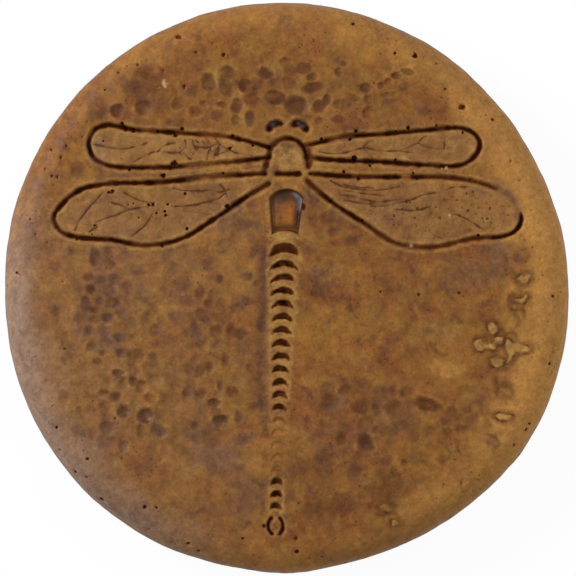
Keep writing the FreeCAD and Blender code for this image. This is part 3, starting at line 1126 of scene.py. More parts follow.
    def taper(self, ends: Pair, number: int) -> float:
        """A size of one abdomen segment, from its sizes at the plate and at the tail."""
        return ends[1] + (ends[0] - ends[1]) * (1 - number / (self.segments - 1)) ** 2

    def figure_line(self, line: Array, seed: int, stain: float) -> PressedLine:
        """A line as wide and deep as most of the figure's."""
        return PressedLine(
            line, self.line_width, self.line_floor, self.line_depth, stain=stain, seed=seed,
            worn=self.worn_spots, thin=self.thin_spots,
        )

    def wing_line(self, outline: Route, side: Side, size: Pair, root: Pair) -> Array:
        """One wing's outline on the tread.

        Args:
            outline: its points as shares of the wing's length and width.
            side: which side it is on.
            size: its length and width.
            root: how far its root lies from the thorax, and the root's level.
        Returns:
            The outline as a polyline.
        """
        x, y = self.thorax[0], root[1]
        return smooth_line([(x + side.value * (root[0] + u * size[0]), y + v * size[1]) for u, v in outline])

    def wing_lines(self) -> list[Array]:
        """The four outlines: the forewings, then the hindwings, with the left of each first."""
        fore = (self.forewing, (self.thorax_radius, self.thorax[1] + self.forewing_rise))
        root = (self.bar_length + self.line_width) / 2 + self.hindwing_gap
        hind = (self.hindwing, (root, self.waist_y))
        wings = (
            (self.left_forewing, Side.LEFT, fore), (self.right_forewing, Side.RIGHT, fore),
            (self.left_hindwing, Side.LEFT, hind), (self.right_hindwing, Side.RIGHT, hind),
        )
        return [self.wing_line(outline, side, *place) for outline, side, place in wings]

    def thorax_lines(self) -> list[Array]:
        """The horseshoe round the boss and the bar across the waist."""
        x, y = self.thorax
        bend = arc_line(self.thorax, self.thorax_radius, math.pi - self.leg_splay, self.leg_splay)
        foot = self.thorax_radius * math.cos(self.leg_splay) + self.thorax_leg * math.tan(self.leg_splay)
        foot += self.thorax_radius * math.sin(self.leg_splay) * math.tan(self.leg_splay)
        heel = y - self.thorax_leg
        horseshoe = np.vstack([[(x - foot, heel)], bend, [(x + foot, heel)]])
        half = (self.bar_length - self.line_width) / 2
        bar = np.array([(x - half, self.waist_y), (x + half, self.waist_y)])
        return [resample(line, LINE_STEP) for line in (horseshoe, bar)]

    def eyes(self) -> list[Relief]:
        """Two short fat grooves, bowed forward, with sealer lying in them and a glint painted on it."""
        turn = np.radians(np.linspace(*self.eye_angles, self.eye_points))
        reach = self.eye_reach + self.eye_bow * (1.0 - np.linspace(-1.0, 1.0, self.eye_points) ** 2)
        eyes: list[Relief] = []
        for side in Side:
            out = np.column_stack([side.value * reach * np.sin(turn), reach * np.cos(turn)])
            eyes.append(PressedLine(
                np.array(self.thorax) + out, self.eye_width, self.eye_floor, self.eye_depth,
                fading=0.0, gloss=self.eye_gloss_and_glint, seed=self.eye_seed + side.value,
            ))
        return eyes

    def plate(self) -> ShieldPocket:
        """The pocket behind the waist."""
        top = self.waist_y - self.plate_gap
        low = top - self.plate_length
        half_head, half_foot = (width / 2 for width in self.plate_widths)
        return ShieldPocket(
            (self.body_x(top), top), (self.body_x(low), low), half_head, half_foot,
            self.plate_arch, self.plate_hollow, self.plate_depth,
        )

    def abdomen(self) -> list[Relief]:
        """The crescents down to the tail, and the claspers."""
        level = self.waist_y - self.plate_gap - self.plate_length - self.segment_gap - self.collar_arch
        parts: list[Relief] = []
        rng = np.random.default_rng(self.segment_seed)
        for number in range(self.segments):
            arch, depth = self.taper(self.arches, number), self.segment_depth
            if number in self.worn_segments:
                stain, depth = self.worn_stains[number - self.worn_segments.start], self.worn_depth
            else:
                stain = rng.uniform(*self.segment_stains)
            if number == 0:
                arch, stain = self.collar_arch, self.collar_stain
            half, hollow = self.taper(self.spans, number) / 2, self.taper(self.hollows, number)
            parts.append(Crescent((self.body_x(level), level), half, arch, hollow, depth, stain))
            share = number / (self.segments - 1)
            last_level = level
            level -= self.pitches[0] + share * (self.pitches[1] - self.pitches[0])
        return parts + self.claspers(last_level - self.clasper_gap)

    def claspers(self, top: float) -> list[Relief]:
        """The two bowed claspers below a level."""
        half = self.clasper_length / 2
        radius, back = chord_circle(half, self.clasper_bow)
        spread = math.asin(half / radius)
        claspers: list[Relief] = []
        for side in Side:
            x = self.body_x(top) + side.value * (self.clasper_half_spread + back)
            out = 0.0 if side is Side.RIGHT else math.pi
            claspers.append(PressedLine(
                arc_line((x, top - half), radius, out + spread, out - spread, CLASPER_STEP),
                self.clasper_width, self.clasper_floor, self.clasper_depth,
                fading=self.clasper_fading, spread=self.clasper_stain_spread, seed=self.clasper_seed,
            ))
        return claspers

    def wing_dots(self, lines: Iterable[Array]) -> list[Relief]:
        """Pin-sized holes scattered over the wings, thickest on the right hindwing."""
        rng = np.random.default_rng(self.dot_seed)
        dots: list[Relief] = []
        for line, count in zip(lines, self.dot_counts):
            spots = rng.uniform(line.min(axis=0), line.max(axis=0), (self.dot_tries * count, 2))
            gap, _ = gap_to_line(spots, line)
            tipwards = np.abs(spots[:, 0]) / np.abs(line[:, 0]).max()
            held = is_inside(spots, line) & (gap > self.dot_margin)
            held &= rng.uniform(size=len(spots)) < tipwards**2
            for x, y in spots[held][:count]:
                radius, stain = rng.uniform(*self.dot_radii), rng.uniform(*self.dot_stains)
                dots.append(Pinhole((x, y), radius, self.dot_depth, stain))
        return dots

    def reliefs(self) -> list[Relief]:
        """Everything that makes up the figure, in the order in which it is pressed."""
        wings = self.wing_lines()
        figure: list[Relief] = [Wing(line) for line in wings]
        figure += [Vein(smooth_line(route, FINE_STEP), number) for number, route in enumerate(self.veins)]
        for number, (line, stain) in enumerate(zip(wings + self.thorax_lines(), self.line_stains)):
            figure.append(self.figure_line(line, number, stain))
        for x, y, size in self.knots:
            figure.append(Pinhole((x, y), self.knot_radius * size, self.knot_depth * size, self.knot_stain))
        for x, y, size in self.pricks:
            figure.append(Pinhole((x, y), self.prick_radius * size, self.prick_depth, self.prick_stain))
        figure += [Blot(*cloud) for cloud in self.blots]
        figure += [Streak(smooth_line(route), *rest) for route, *rest in self.streaks]
        return figure + self.eyes() + [self.plate()] + self.abdomen() + self.wing_dots(wings)


@dataclass(frozen=True)
class PebblePatch:
    """A part of the tread that round pebbles were pressed into, as a leaning ellipse."""

    middle: Point
    half: Pair
    lean: float
    pitch: float
    depth: float
    stain: float
    grey: float
    # The rows' spacing as a share of the pitch, and how far a pebble strays from its place in a row
    row_step: float = 0.87
    stray: float = 1.9
    radii: Pair = (0.32, 0.56)
    stretches: Pair = (0.85, 1.3)
    # Where the patch thins out, the pebbles that are missing, and how far two may overlap
    edge: Pair = (0.7, 1.25)
    missing: float = 0.1
    overlap: float = 0.72

    def fill(self, dishes: list[Dimple], rng: np.random.Generator) -> None:
        """Adds small dishes in staggered rows, wherever there is room for one.

        Args:
            dishes: the dishes there are, which the new ones join.
            rng: where the chance in their places and sizes comes from.
        """
        lean, pitch = math.radians(self.lean), self.pitch
        rows = int(self.half[1] / (self.row_step * pitch)) + 1
        columns = int(self.half[0] / pitch) + 1
        for row, column in product(range(-rows, rows + 1), range(-columns, columns + 1)):
            x = (column + 0.5 * (row % 2)) * pitch + rng.uniform(-self.stray, self.stray)
            y = row * self.row_step * pitch + rng.uniform(-self.stray, self.stray)
            spread = math.hypot(x / self.half[0], y / self.half[1])
            radius = pitch * rng.uniform(*self.radii)
            depth = self.depth * rng.uniform(0.5, 1.2) * (1.15 - 0.5 * min(1.0, spread))
            stain = self.stain * rng.uniform(0.1, 0.8)
            turn, stretch = rng.uniform(0, math.pi), rng.uniform(*self.stretches)
            if spread > rng.uniform(*self.edge) or rng.uniform() < self.missing:
                continue
            middle = (
                self.middle[0] + x * math.cos(lean) - y * math.sin(lean),
                self.middle[1] + x * math.sin(lean) + y * math.cos(lean),
            )
            if all(math.dist(middle, dish.middle) > self.overlap * (radius + dish.radius) for dish in dishes):
                half, grey = (radius * stretch, radius / stretch), self.grey * rng.uniform(0.2, 1.0)
                dishes.append(Dimple(middle, half, depth, stain, grey, turn))


@dataclass(frozen=True)
class Face:
    """What casting, pebbles and weather did to the stone's face outside the figure."""

    # How much darker the ground of a pebble patch is
    patch_stain: float = 0.14
    patches: tuple[PebblePatch, ...] = (
        PebblePatch((-3.5, 106), (33, 15), 0, 10.5, 0.60, 0.80, 0.1),
        PebblePatch((43.5, 104.5), (30, 10), 18, 9.5, 0.50, 0.75, 0.1),
        PebblePatch((-47, 101), (25, 9.5), -5, 9.5, 0.42, 0.50, 0.1),
        PebblePatch((-95, -8), (12, 31), 0, 8.0, 0.55, 0.85, 0.8),
        PebblePatch((-80, -58), (25, 28), 0, 8.6, 0.80, 0.80, 0.5),
        PebblePatch((-41.5, -30), (16, 40), -10, 8.0, 0.55, 0.80, 0.5),
        PebblePatch((-28, -55), (15, 22), 0, 8.0, 0.60, 0.75, 0.4),
        PebblePatch((42, -71.5), (29, 24), 0, 10.0, 0.50, 0.65, 0.2),
        PebblePatch((91.5, -69), (22, 16), 20, 8.5, 0.40, 0.55, 0.1),
        PebblePatch((50, -108), (26, 11.5), 0, 8.5, 0.32, 0.65, 0.2),
        PebblePatch((-22, 33), (10, 8), 0, 8.0, 0.45, 0.60, 0.6),
        PebblePatch((22.5, 33), (11.5, 9.5), 0, 8.0, 0.45, 0.65, 0.3),
        PebblePatch((-62, -34), (50, 58), 0, 10.0, 0.40, 0.35, 0.4),
    )
    # The bold dishes are sharpest above the first level, and sharper below the second than between
    sharp_levels: Pair = (84.0, -42.0)
    bold_turn: float = 0.3
    bold_seed: int = 5
    # The dishes that show by themselves, as (x, y, half width, half height, depth, stain, grey)
    bold_dimples: tuple[tuple[float, ...], ...] = (
        (6.2, 95.6, 6.0, 5.0, 0.9, 1.0, 0.0), (18.6, 94.6, 3.8, 3.6, 0.8, 0.9, 0.1),
        (22.2, 98, 2.3, 3.0, 0.6, 0.9, 0.0), (-5.5, 99.4, 5.4, 3.7, 0.8, 0.9, 0.1),
        (-16.8, 97.4, 4.6, 4.0, 0.6, 0.6, 0.0), (-20.6, 105.4, 3.7, 3.4, 0.7, 0.9, 0.1),
        (-29.5, 112, 4.8, 3.8, 0.5, 0.7, 0.3), (-10, 111.8, 5.2, 3.4, 0.6, 0.8, 0.4),
        (2.6, 107.2, 3.8, 3.4, 0.6, 0.6, 0.0), (15, 104.4, 6.0, 3.4, 0.7, 0.9, 0.1),
        (14.6, 109.8, 3.4, 2.2, 0.5, 0.7, 0.0), (10, 114.6, 3.8, 3.2, 0.5, 0.8, 0.0),
        (0.6, 117.8, 3.6, 2.8, 0.4, 0.5, 0.0), (-10, 121, 4.0, 2.6, 0.3, 0.4, 0.0),
        (-30, 104.6, 3.6, 5.6, 0.6, 0.8, 0.3), (-40, 107.5, 3.8, 5.6, 0.5, 0.6, 0.3),
        (-24.8, 95, 3.4, 4.2, 0.6, 0.8, 0.4), (-32.4, 95.6, 3.2, 1.9, 0.5, 0.9, 0.0),
        (-18.4, 88.4, 3.0, 4.4, 0.6, 0.8, 0.4), (-25.6, 87.6, 2.4, 2.6, 0.4, 0.6, 0.0),
        (-55.6, 96, 3.6, 3.4, 0.4, 0.6, 0.0), (-42, 96, 2.8, 2.4, 0.4, 0.5, 0.0),
        (29, 96, 5.0, 2.6, 0.5, 0.6, 0.0), (43.2, 92, 3.2, 3.4, 0.6, 0.9, 0.0),
        (43.4, 98, 2.4, 2.4, 0.4, 0.5, 0.0), (42.6, 104.8, 3.0, 2.3, 0.6, 0.9, 0.2),
        (50.4, 106.2, 2.1, 2.3, 0.5, 0.9, 0.0), (54, 108.2, 2.7, 2.1, 0.5, 0.7, 0.1),
        (58.8, 111.6, 3.0, 2.1, 0.5, 0.8, 0.1), (64.5, 113.6, 3.8, 2.0, 0.5, 0.8, 0.2),
        (55, 101.4, 4.2, 1.8, 0.4, 0.6, 0.0), (36, 99.4, 4.4, 1.8, 0.4, 0.6, 0.0),
        (28.4, 112.6, 2.2, 3.0, 0.4, 0.6, 0.1), (31, 117.4, 2.0, 2.0, 0.3, 0.6, 0.0),
        (18, 87, 2.6, 2.4, 0.4, 0.6, 0.0), (28, 88, 4.2, 2.2, 0.4, 0.5, 0.0),
        (-87.5, 93, 4.0, 3.8, 0.7, 0.9, 0.3), (-74, 94.5, 4.4, 3.8, 0.6, 0.7, 0.4),
        (-109.5, 62.5, 4.8, 4.4, 0.3, 0.6, 0.3), (-99, 16, 3.2, 5.0, 0.8, 0.8, 0.9),
        (-92, 18.6, 2.4, 3.6, 0.6, 0.7, 0.6), (-111, 20, 3.2, 3.0, 0.4, 0.5, 0.2),
        (-102, 5.4, 3.5, 2.3, 0.6, 0.9, 0.4), (-101, -1.2, 2.6, 3.0, 0.7, 0.9, 0.3),
        (-96, 3.8, 4.2, 3.2, 0.4, 0.5, 1.0), (-89, 4, 3.4, 3.2, 0.4, 0.5, 0.9),
        (-90, -7.6, 3.7, 3.5, 0.8, 0.9, 0.5), (-99.6, -11.6, 2.6, 2.3, 0.6, 0.8, 0.2),
        (-96, -6.6, 3.0, 2.6, 0.4, 0.4, 0.9), (-92.4, -15.6, 3.8, 2.9, 0.8, 0.8, 0.8),
        (-120.4, -12.4, 2.7, 2.6, 0.4, 0.7, 0.2), (-101, -31, 3.4, 2.3, 0.6, 0.8, 0.4),
        (-93, -28.8, 4.6, 3.1, 0.6, 0.6, 1.0), (-87, -26, 2.6, 3.2, 0.5, 0.6, 1.0),
        (-94.4, -34, 2.6, 2.0, 0.5, 0.8, 0.6), (-85.6, -34, 2.6, 2.3, 0.6, 0.8, 0.6),
        (-98, -38.4, 2.6, 2.2, 0.4, 0.6, 0.5), (-86.6, -45, 3.8, 2.8, 1.0, 1.0, 0.5),
        (-79, -48.6, 2.7, 2.8, 0.9, 0.9, 0.5), (-94.6, -54.6, 3.3, 1.8, 0.6, 0.8, 0.1),
        (-93.6, -62, 3.7, 4.0, 0.6, 0.6, 0.3), (-83.6, -64, 4.2, 4.0, 1.0, 0.9, 0.6),
        (-73, -66.8, 4.4, 4.1, 1.5, 1.0, 0.7), (-93, -73.6, 4.2, 4.5, 0.8, 0.5, 0.9),
        (-65.4, -74.6, 5.0, 3.9, 1.0, 0.55, 0.9), (-84.4, -82.6, 3.2, 3.6, 0.5, 0.15, 0.8),
        (-75, -75, 2.6, 4.0, 0.6, 0.6, 0.2), (-101, -76, 2.3, 4.0, 0.4, 0.6, 0.1),
        (-116, -56, 3.2, 3.0, 0.4, 0.5, 0.2), (-108, -64, 2.2, 2.2, 0.3, 0.5, 0.1),
        (-74, -51.4, 3.1, 3.2, 0.7, 0.6, 0.3), (-68, -22, 3.6, 3.0, 0.4, 0.4, 0.5),
        (-34, 4.6, 2.1, 3.2, 0.5, 0.8, 0.5), (-37, -3, 3.2, 3.0, 0.5, 0.6, 0.8),
        (-39.6, -8, 3.0, 3.0, 0.6, 0.8, 0.3), (-43.4, -14, 2.6, 3.6, 0.7, 0.8, 0.6),
        (-40.4, -16.6, 2.0, 2.6, 0.4, 0.4, 0.9), (-27.4, -22, 3.4, 4.4, 0.6, 0.8, 0.2),
        (-22.8, -24, 3.6, 4.0, 0.6, 0.7, 0.7), (-19.6, 6, 4.4, 2.3, 0.4, 0.6, 0.9),
        (-14.4, 2.4, 2.2, 2.4, 0.5, 0.8, 0.5), (-39.6, -41.2, 2.8, 3.2, 0.7, 0.8, 0.2),
        (-31, -37, 2.2, 4.0, 0.6, 0.8, 0.1), (-33.6, -51, 1.9, 2.7, 0.6, 0.9, 0.4),
        (-36.4, -60, 3.8, 2.4, 0.9, 0.9, 0.3), (-34, -70, 4.0, 3.9, 1.4, 1.1, 0.6),
        (-27.6, -54, 3.6, 3.7, 0.5, 0.6, 0.0), (-24, -68, 2.7, 3.7, 0.8, 0.8, 0.6),
        (-51, -54.6, 2.6, 3.6, 0.6, 0.6, 0.7), (-50, -42, 4.0, 4.0, 0.5, 0.5, 0.5),
        (-47, -72, 2.2, 2.2, 0.5, 0.8, 0.3), (-45.6, -79, 2.6, 3.2, 0.4, 0.25, 0.8),
        (-22, -79, 6.4, 3.2, 0.3, 0.3, 0.8), (-19, -7, 3.2, 2.7, 0.4, 0.7, 0.5),
        (-18, -42, 2.6, 3.2, 0.5, 0.7, 0.3), (-57, -53, 3.4, 4.2, 0.5, 0.3, 0.0),
        (31.4, -53, 3.8, 3.2, 0.4, 0.8, 0.3), (23.4, -59.4, 5.0, 4.7, 0.5, 0.6, 0.2),
        (39.6, -62.4, 5.0, 4.2, 0.4, 0.9, 0.2), (74.4, -61, 7.6, 3.5, 0.45, 1.6, 0.0),
        (42, -81, 4.6, 4.8, 0.8, 1.5, 0.9), (29.6, -79, 3.4, 3.9, 0.3, 0.7, 0.1),
        (47.6, -74, 2.2, 2.2, 0.3, 0.7, 0.0), (53, -75, 4.0, 2.6, 0.3, 0.6, 0.2),
        (36.6, -96.4, 4.4, 5.2, 0.3, 0.55, 0.6), (62.6, -91.6, 2.6, 2.6, 0.3, 0.8, 0.0),
        (115, -50.4, 4.2, 2.6, 0.5, 0.6, 0.0), (111.6, -55, 3.4, 2.6, 0.4, 0.6, 0.0),
        (108, -79.6, 4.1, 4.0, 0.5, 0.2, 0.6), (85, -76, 3.4, 3.6, 0.4, 0.45, 0.1),
        (82.6, -89, 4.0, 3.4, 0.3, 0.4, 0.1), (104, -64, 3.4, 3.4, 0.3, 0.4, 0.0),
        (93, -74, 4.6, 3.4, 0.4, 0.5, 0.3), (-73.5, 108, 6.4, 7.4, 0.3, 0.45, 0.0),
        (-46.3, 92, 4.0, 3.4, 0.4, 0.5, 0.0), (-35, 90, 3.6, 3.0, 0.4, 0.45, 0.0),
        (-22, 33, 6.0, 4.0, 0.4, 0.6, 0.7), (22.4, 36, 4.0, 3.4, 0.4, 0.7, 0.2),
        (25, 29, 3.4, 3.0, 0.4, 0.7, 0.1), (35, 24, 4.0, 3.0, 0.4, 0.6, 0.3),
        (122, 16, 2.6, 3.0, 0.4, 0.4, 0.6), (113, 4, 3.6, 4.0, 0.3, 0.3, 0.2),
    )
    # Air holes seen from above, as (x, y, radius)
    holes: tuple[Triple, ...] = (
        (-77, 117, 1.1), (-87.5, 113, 0.8), (-94.5, 104, 0.8), (-52.5, 105.5, 0.9), (-46.5, 123, 0.9),
        (-32, 121.5, 1.3), (-123.5, 73, 0.9), (-115, 75, 0.9), (-118, 69, 0.7), (-127, 63, 0.7),
        (-123, 59, 0.9), (-120, 58.5, 0.7), (-56, 131.5, 1.5), (36, 139, 1.1), (58, 123.5, 0.9),
        (69, 122.5, 1.7), (94, 95.5, 2.0), (110, 89.5, 0.8), (84.5, 105, 0.8), (-135, 36.5, 0.8),
        (-132, 28.5, 0.7), (-143, 8, 0.8), (70, -3.5, 1.0), (91, -2.5, 1.0), (50, -2, 0.7),
        (141, -4.5, 1.0), (138.5, -39.5, 0.9), (-120, -73.5, 1.0), (-118.5, -85.5, 1.0),
        (-103.5, -89.5, 0.9), (-110, -97, 1.1), (-104, -99.5, 0.8), (-96, -111, 1.3),
        (-73.5, -114.5, 1.2), (-67, -115, 0.9), (-50.5, -134, 1.0), (-45.5, -138.5, 1.2),
        (-22, -131.5, 0.8), (-11, -124.5, 1.1), (6, -131, 1.0), (6.5, -138, 1.2), (125.5, -73.5, 1.0),
        (127, -70.5, 0.8),
    )
    hole_radius: float = 0.95
    hole_stains: Pair = (0.42, 0.8)
    hole_seed: int = 3
    # Smaller ones scattered over the rim
    rim_holes: int = 130
    rim_hole_radii: Pair = (0.35, 0.7)
    rim_hole_depths: Pair = (0.3, 0.7)
    rim_hole_stains: Pair = (0.3, 0.6)
    # Scabs of pale skin, each through a few places round its edge, and two that have almost gone
    scabs: tuple[Route, ...] = (
        (
            (119.8, 6.5), (121.9, 5.4), (124, 6.9), (126.1, 5.8), (128.2, 7.2), (129, 5.6), (126.6, 2.8),
            (123.5, 3.3),
        ),
        (
            (119, -4.7), (120.4, -5.8), (122.5, -6.1), (124.6, -5), (126.9, -4.1), (126, -6.5),
            (123.5, -7.8), (120.6, -7.1),
        ),
        (
            (106.4, -20), (107.6, -18.4), (109.6, -18.4), (111.2, -20.6), (111, -23.2), (109.2, -24.4),
            (107.2, -23.2),
        ),
        (
            (98.5, -29.3), (100.5, -26.8), (103.2, -27.2), (105.3, -29.2), (108, -28.8), (110, -30),
            (109, -32), (105.6, -31.7), (102.6, -33), (99.8, -31.6),
        ),
        ((109.8, -27), (111.6, -25.8), (114.2, -26.2), (114.4, -28.4), (112, -29.2), (110, -28.6)),
        (
            (115.2, -27.3), (117.4, -27.2), (119.4, -29.2), (122.6, -29.8), (127.4, -31), (127.2, -33.2),
            (122, -33.6), (119.4, -35.6), (117, -39.2), (114.6, -39.8), (116.4, -36.6), (116.6, -33),
            (115.2, -30.4),
        ),
        (
            (107.2, -37.4), (109.6, -36.6), (113, -37.2), (115.4, -38), (114.8, -40.6), (111.6, -41.2),
            (108, -40.2),
        ),
        ((109.4, -66.6), (112, -65.4), (114.6, -66), (118.4, -66.8), (116, -68.2), (111.6, -67.9)),
    )
    faint_scabs: tuple[Route, ...] = (
        ((50, -114.6), (53, -113.8), (56.4, -115), (55.4, -117.2), (51.4, -117.4)),
        ((56.6, -122.8), (59, -122.4), (59.6, -125), (57, -125.6)),
    )
    faint_share: float = 0.5
    # Crooked cracks where the skin has wrinkled and peeled
    wrinkles: tuple[Route, ...] = (
        ((115, 17.4), (116.4, 13), (115.2, 10.6), (116.8, 7.6)),
        ((119.2, 4.4), (121.6, 2), (124.8, 1.4), (129, 3.4)),
        ((118.6, -5.4), (119.8, -7.6), (122.2, -8.6), (126.6, -5.2)),
        ((116.6, -7.4), (117.4, -10.2), (119.6, -11.6), (124.6, -11.4), (125.4, -15)),
        ((123.6, 20), (126, 20.4), (128.2, 17.4), (126.4, 14.4)),
        ((109.8, -47.8), (110.6, -52), (112.6, -56), (118.4, -55.2), (116.6, -50.6)),
        ((109.8, -67), (111, -69.4), (112.8, -70.8), (117.8, -69.8)),
        ((75.8, -28.8), (78.2, -32.6), (82, -35), (84.8, -34.4)),
        ((82.4, -72.4), (83.4, -75.4), (85.4, -76.8), (87.6, -74), (91.2, -77)),
        ((84.4, -82.8), (86.2, -86.4), (85.6, -89.2), (82.4, -90.8)),
        ((91.4, -79.4), (90.2, -82), (90.6, -85.6)),
        ((105, -75.8), (108.6, -77), (110.6, -79.6), (109.4, -84)),
        ((104.2, -66.2), (105, -68.6), (107, -70.8)),
        ((113.2, -21.6), (115.4, -24), (118.4, -23.4), (121, -25.4)),
        ((120.4, -13.4), (122.6, -16.8), (121.8, -20)), ((52.8, -2.4), (54.6, -0.8), (56.6, -2)),
        ((46, -113), (50, -111.6), (56, -112.2), (60, -115)),
        ((47.8, -118.8), (52, -120), (57.6, -118.8), (60.6, -120.8)),
    )
    wrinkle_width: float = 1.7
    wrinkle_depth: float = 0.22
    wrinkle_stain: float = 0.8
    # Bright grains of aggregate, as (x, y, radius)
    chips: tuple[Triple, ...] = (
        (86, 38, 1.0), (66, 22.3, 1.2), (-63, 106.5, 1.1), (-62.2, 104.8, 0.7), (84.3, 62.5, 0.7),
        (82, 62.4, 0.5),
    )
    # Clouded places in the stain, as (middle, half sizes, mark, strength)
    blots: tuple[Cloud, ...] = (
        ((53, -104), (14, 13), Mark.DIMPLE, 0.50), ((28, -113), (12, 9), Mark.DIMPLE, 0.45),
        ((16, -117), (12, 5), Mark.DIMPLE, 0.45), ((-33, -89), (17, 11), Mark.SLATE_AND_SHEEN, 0.50),
        ((-76, -122), (13, 5), Mark.SLATE_AND_SHEEN, 0.50), ((-24, -100), (7, 10), Mark.SLATE_AND_SHEEN, 0.30),
        ((58, -68), (12, 9), Mark.SLATE_AND_SHEEN, 0.22), ((96, -80), (20, 17), Mark.DIMPLE, 0.22),
        ((17, 9), (6, 4), Mark.SLATE_AND_SHEEN, 0.40), ((-96, 3), (10, 8), Mark.SLATE_AND_SHEEN, 0.42),
        ((-93, -29), (10, 7), Mark.SLATE_AND_SHEEN, 0.48), ((-96, 16), (8, 7), Mark.SLATE_AND_SHEEN, 0.40),
        ((-73, 108), (9, 9), Mark.DIMPLE, 0.40), ((113, 14), (7, 11), Mark.SLATE_AND_SHEEN, 0.45),
        ((95, 8), (16, 10), Mark.SLATE_AND_SHEEN, 0.25), ((84, -22), (13, 7), Mark.WORN_AND_HIGHLIGHT, 0.25),
        ((85, -43), (8, 5), Mark.RIM, 0.45), ((-28, 35), (14, 9), Mark.SLATE_AND_SHEEN, 0.35),
        ((-15, -90), (4, 13), Mark.RIM, 0.30), ((-66, 120), (8, 7), Mark.RIM, 0.25),
        ((-91, 100), (6, 5), Mark.RIM, 0.25), ((30, -80), (22, 16), Mark.SLATE_AND_SHEEN, 0.15),
        ((-20, -108), (13, 15), Mark.SLATE_AND_SHEEN, 0.36), ((84, -103), (17, 11), Mark.DIMPLE, 0.12),
    )
    # The furrow along the body's left, as (line, strength) of its deep and its worn stretch
    furrow: tuple[tuple[Route, float], ...] = (
        (((-10.4, 18), (-11.4, 3), (-11.4, -10), (-12.0, -22)), 1.0),
        (((-12.0, -22), (-12.4, -36), (-12.6, -48), (-11.6, -66)), 0.62),
    )
    furrow_width: float = 4.6
    furrow_depth: float = 0.6
    furrow_marks: Marks = ((Mark.DIMPLE, 0.9), (Mark.SLATE_AND_SHEEN, 0.95))

    def crispness(self, y: float, depth: float) -> float:
        """How sharp the edge of a bold dish is, from its level and depth."""
        above, below = self.sharp_levels
        return 1.0 if y > above else min(1.0, (0.75 if y < below else 0.5) * depth + 0.1)

    def dimples(self) -> list[Dimple]:
        """The bold dishes, and smaller ones that fill the patches between them."""
        rng = np.random.default_rng(self.bold_seed)
        dishes: list[Dimple] = []
        for x, y, half_width, half_height, depth, stain, grey in self.bold_dimples:
            crisp, wet = self.crispness(y, depth), 0.4 * max(0.0, depth - 0.6)
            turn = rng.uniform(-self.bold_turn, self.bold_turn)
            sunk = (0.8 + 0.5 * crisp) * depth
            dishes.append(
                Dimple((x, y), (half_width, half_height), sunk, 0.9 * stain, 0.7 * grey, turn, wet, crisp)
            )
        for patch in self.patches:
            patch.fill(dishes, rng)
        return dishes

    def peeled(self) -> list[Relief]:
        """The furrow, the scabs and the wrinkles."""
        peeled: list[Relief] = []
        for route, share in self.furrow:
            marks = tuple((mark, strength * share) for mark, strength in self.furrow_marks)
            peeled.append(Streak(smooth_line(route), self.furrow_width, -self.furrow_depth * share, marks))
        for scabs, pale in ((self.scabs, 1.0), (self.faint_scabs, self.faint_share)):
            peeled += [Scab(smooth_line((*route, route[0]), ARC_STEP)[:-1], pale) for route in scabs]
        marks = ((Mark.DIMPLE, self.wrinkle_stain),)
        for route in self.wrinkles:
            line = smooth_line(route, FINE_STEP)
            peeled.append(Streak(line, self.wrinkle_width, -self.wrinkle_depth, marks))
        return peeled

    def air_holes(self, slab: Slab) -> list[Relief]:
        """The air holes that show by themselves, and those scattered over the rim."""
        rng = np.random.default_rng(self.hole_seed)
        holes: list[Relief] = []
        for x, y, size in self.holes:
            stain = rng.uniform(*self.hole_stains)
            holes.append(Pinhole(slab.unrolled(x, y), self.hole_radius * size, size, stain))
        for _ in range(self.rim_holes):
            angle, path = rng.uniform(0, 2 * math.pi), rng.uniform(0.80 * slab.flat, slab.arris_start - 4)
            middle = (path * math.cos(angle), path * math.sin(angle))
            sizes = (self.rim_hole_radii, self.rim_hole_depths, self.rim_hole_stains)
            holes.append(Pinhole(middle, *(rng.uniform(*ends) for ends in sizes)))
        return holes

    def reliefs(self, slab: Slab) -> list[Relief]:
        """Everything on the face outside the figure, in the order in which it is pressed."""
        face: list[Relief] = []
        for patch in self.patches:
            strength, turn = self.patch_stain * patch.stain, math.radians(patch.lean)
            face.append(Blot(patch.middle, patch.half, Mark.DIMPLE, strength, turn))
        face += [Blot(*cloud) for cloud in self.blots]
        face += self.dimples()
        face += self.peeled() + self.air_holes(slab)
        return face + [Chip((x, y), radius) for x, y, radius in self.chips]


def linear(hex_colour: str) -> tuple[float, float, float, float]:
    """A shader's linear colour from an sRGB hex value."""
    channels = [int(hex_colour[n:n + 2], 16) / 255 for n in (1, 3, 5)]
    return (*(c / 12.92 if c <= 0.04045 else ((c + 0.055) / 1.055) ** 2.4 for c in channels), 1.0)


def per_mm(size: float) -> float:
    """A texture's scale from the real size of its pattern."""
    return 1.0 / (size * MM)


def add_node(
    tree: bpy.types.NodeTree, kind: str, inputs: Mapping[Any, Any], **settings: Any
) -> bpy.types.Node:
    """Adds a node.

    Args:
        tree: where it goes.
        kind: its type.
        inputs: what each input takes: a plain value, or a socket to link from.
        settings: its own options.
    Returns:
        The node.
    """
    node = tree.nodes.new(kind)
    for name, value in settings.items():
        setattr(node, name, value)
    for key, value in inputs.items():
        if isinstance(value, bpy.types.NodeSocket):
            tree.links.new(value, node.inputs[key])
        else:
            node.inputs[key].default_value = value
    return node


@dataclass(frozen=True)
class Pattern:
    """A cloudy noise: the real size of its pattern, its make-up, and which of many it is."""

    size: float
    detail: float
    rough: float
    warp: float = 0.0
    number: float = 0.0


@dataclass(frozen=True)
class Coat:
    """A colour over those before it, where a pattern and perhaps a mark call for it."""

    colour: str
    pattern: Pattern
    # The part of the pattern's range over which it comes in, and how much it hides at either end
    window: Pair
    cover: Pair
    mark: Mark | None = None
    # The part of the mark's range over which it comes in, and how far the grit bends that edge
    cut: Pair = (0.0, 1.0)
    ragged: float = 0.0


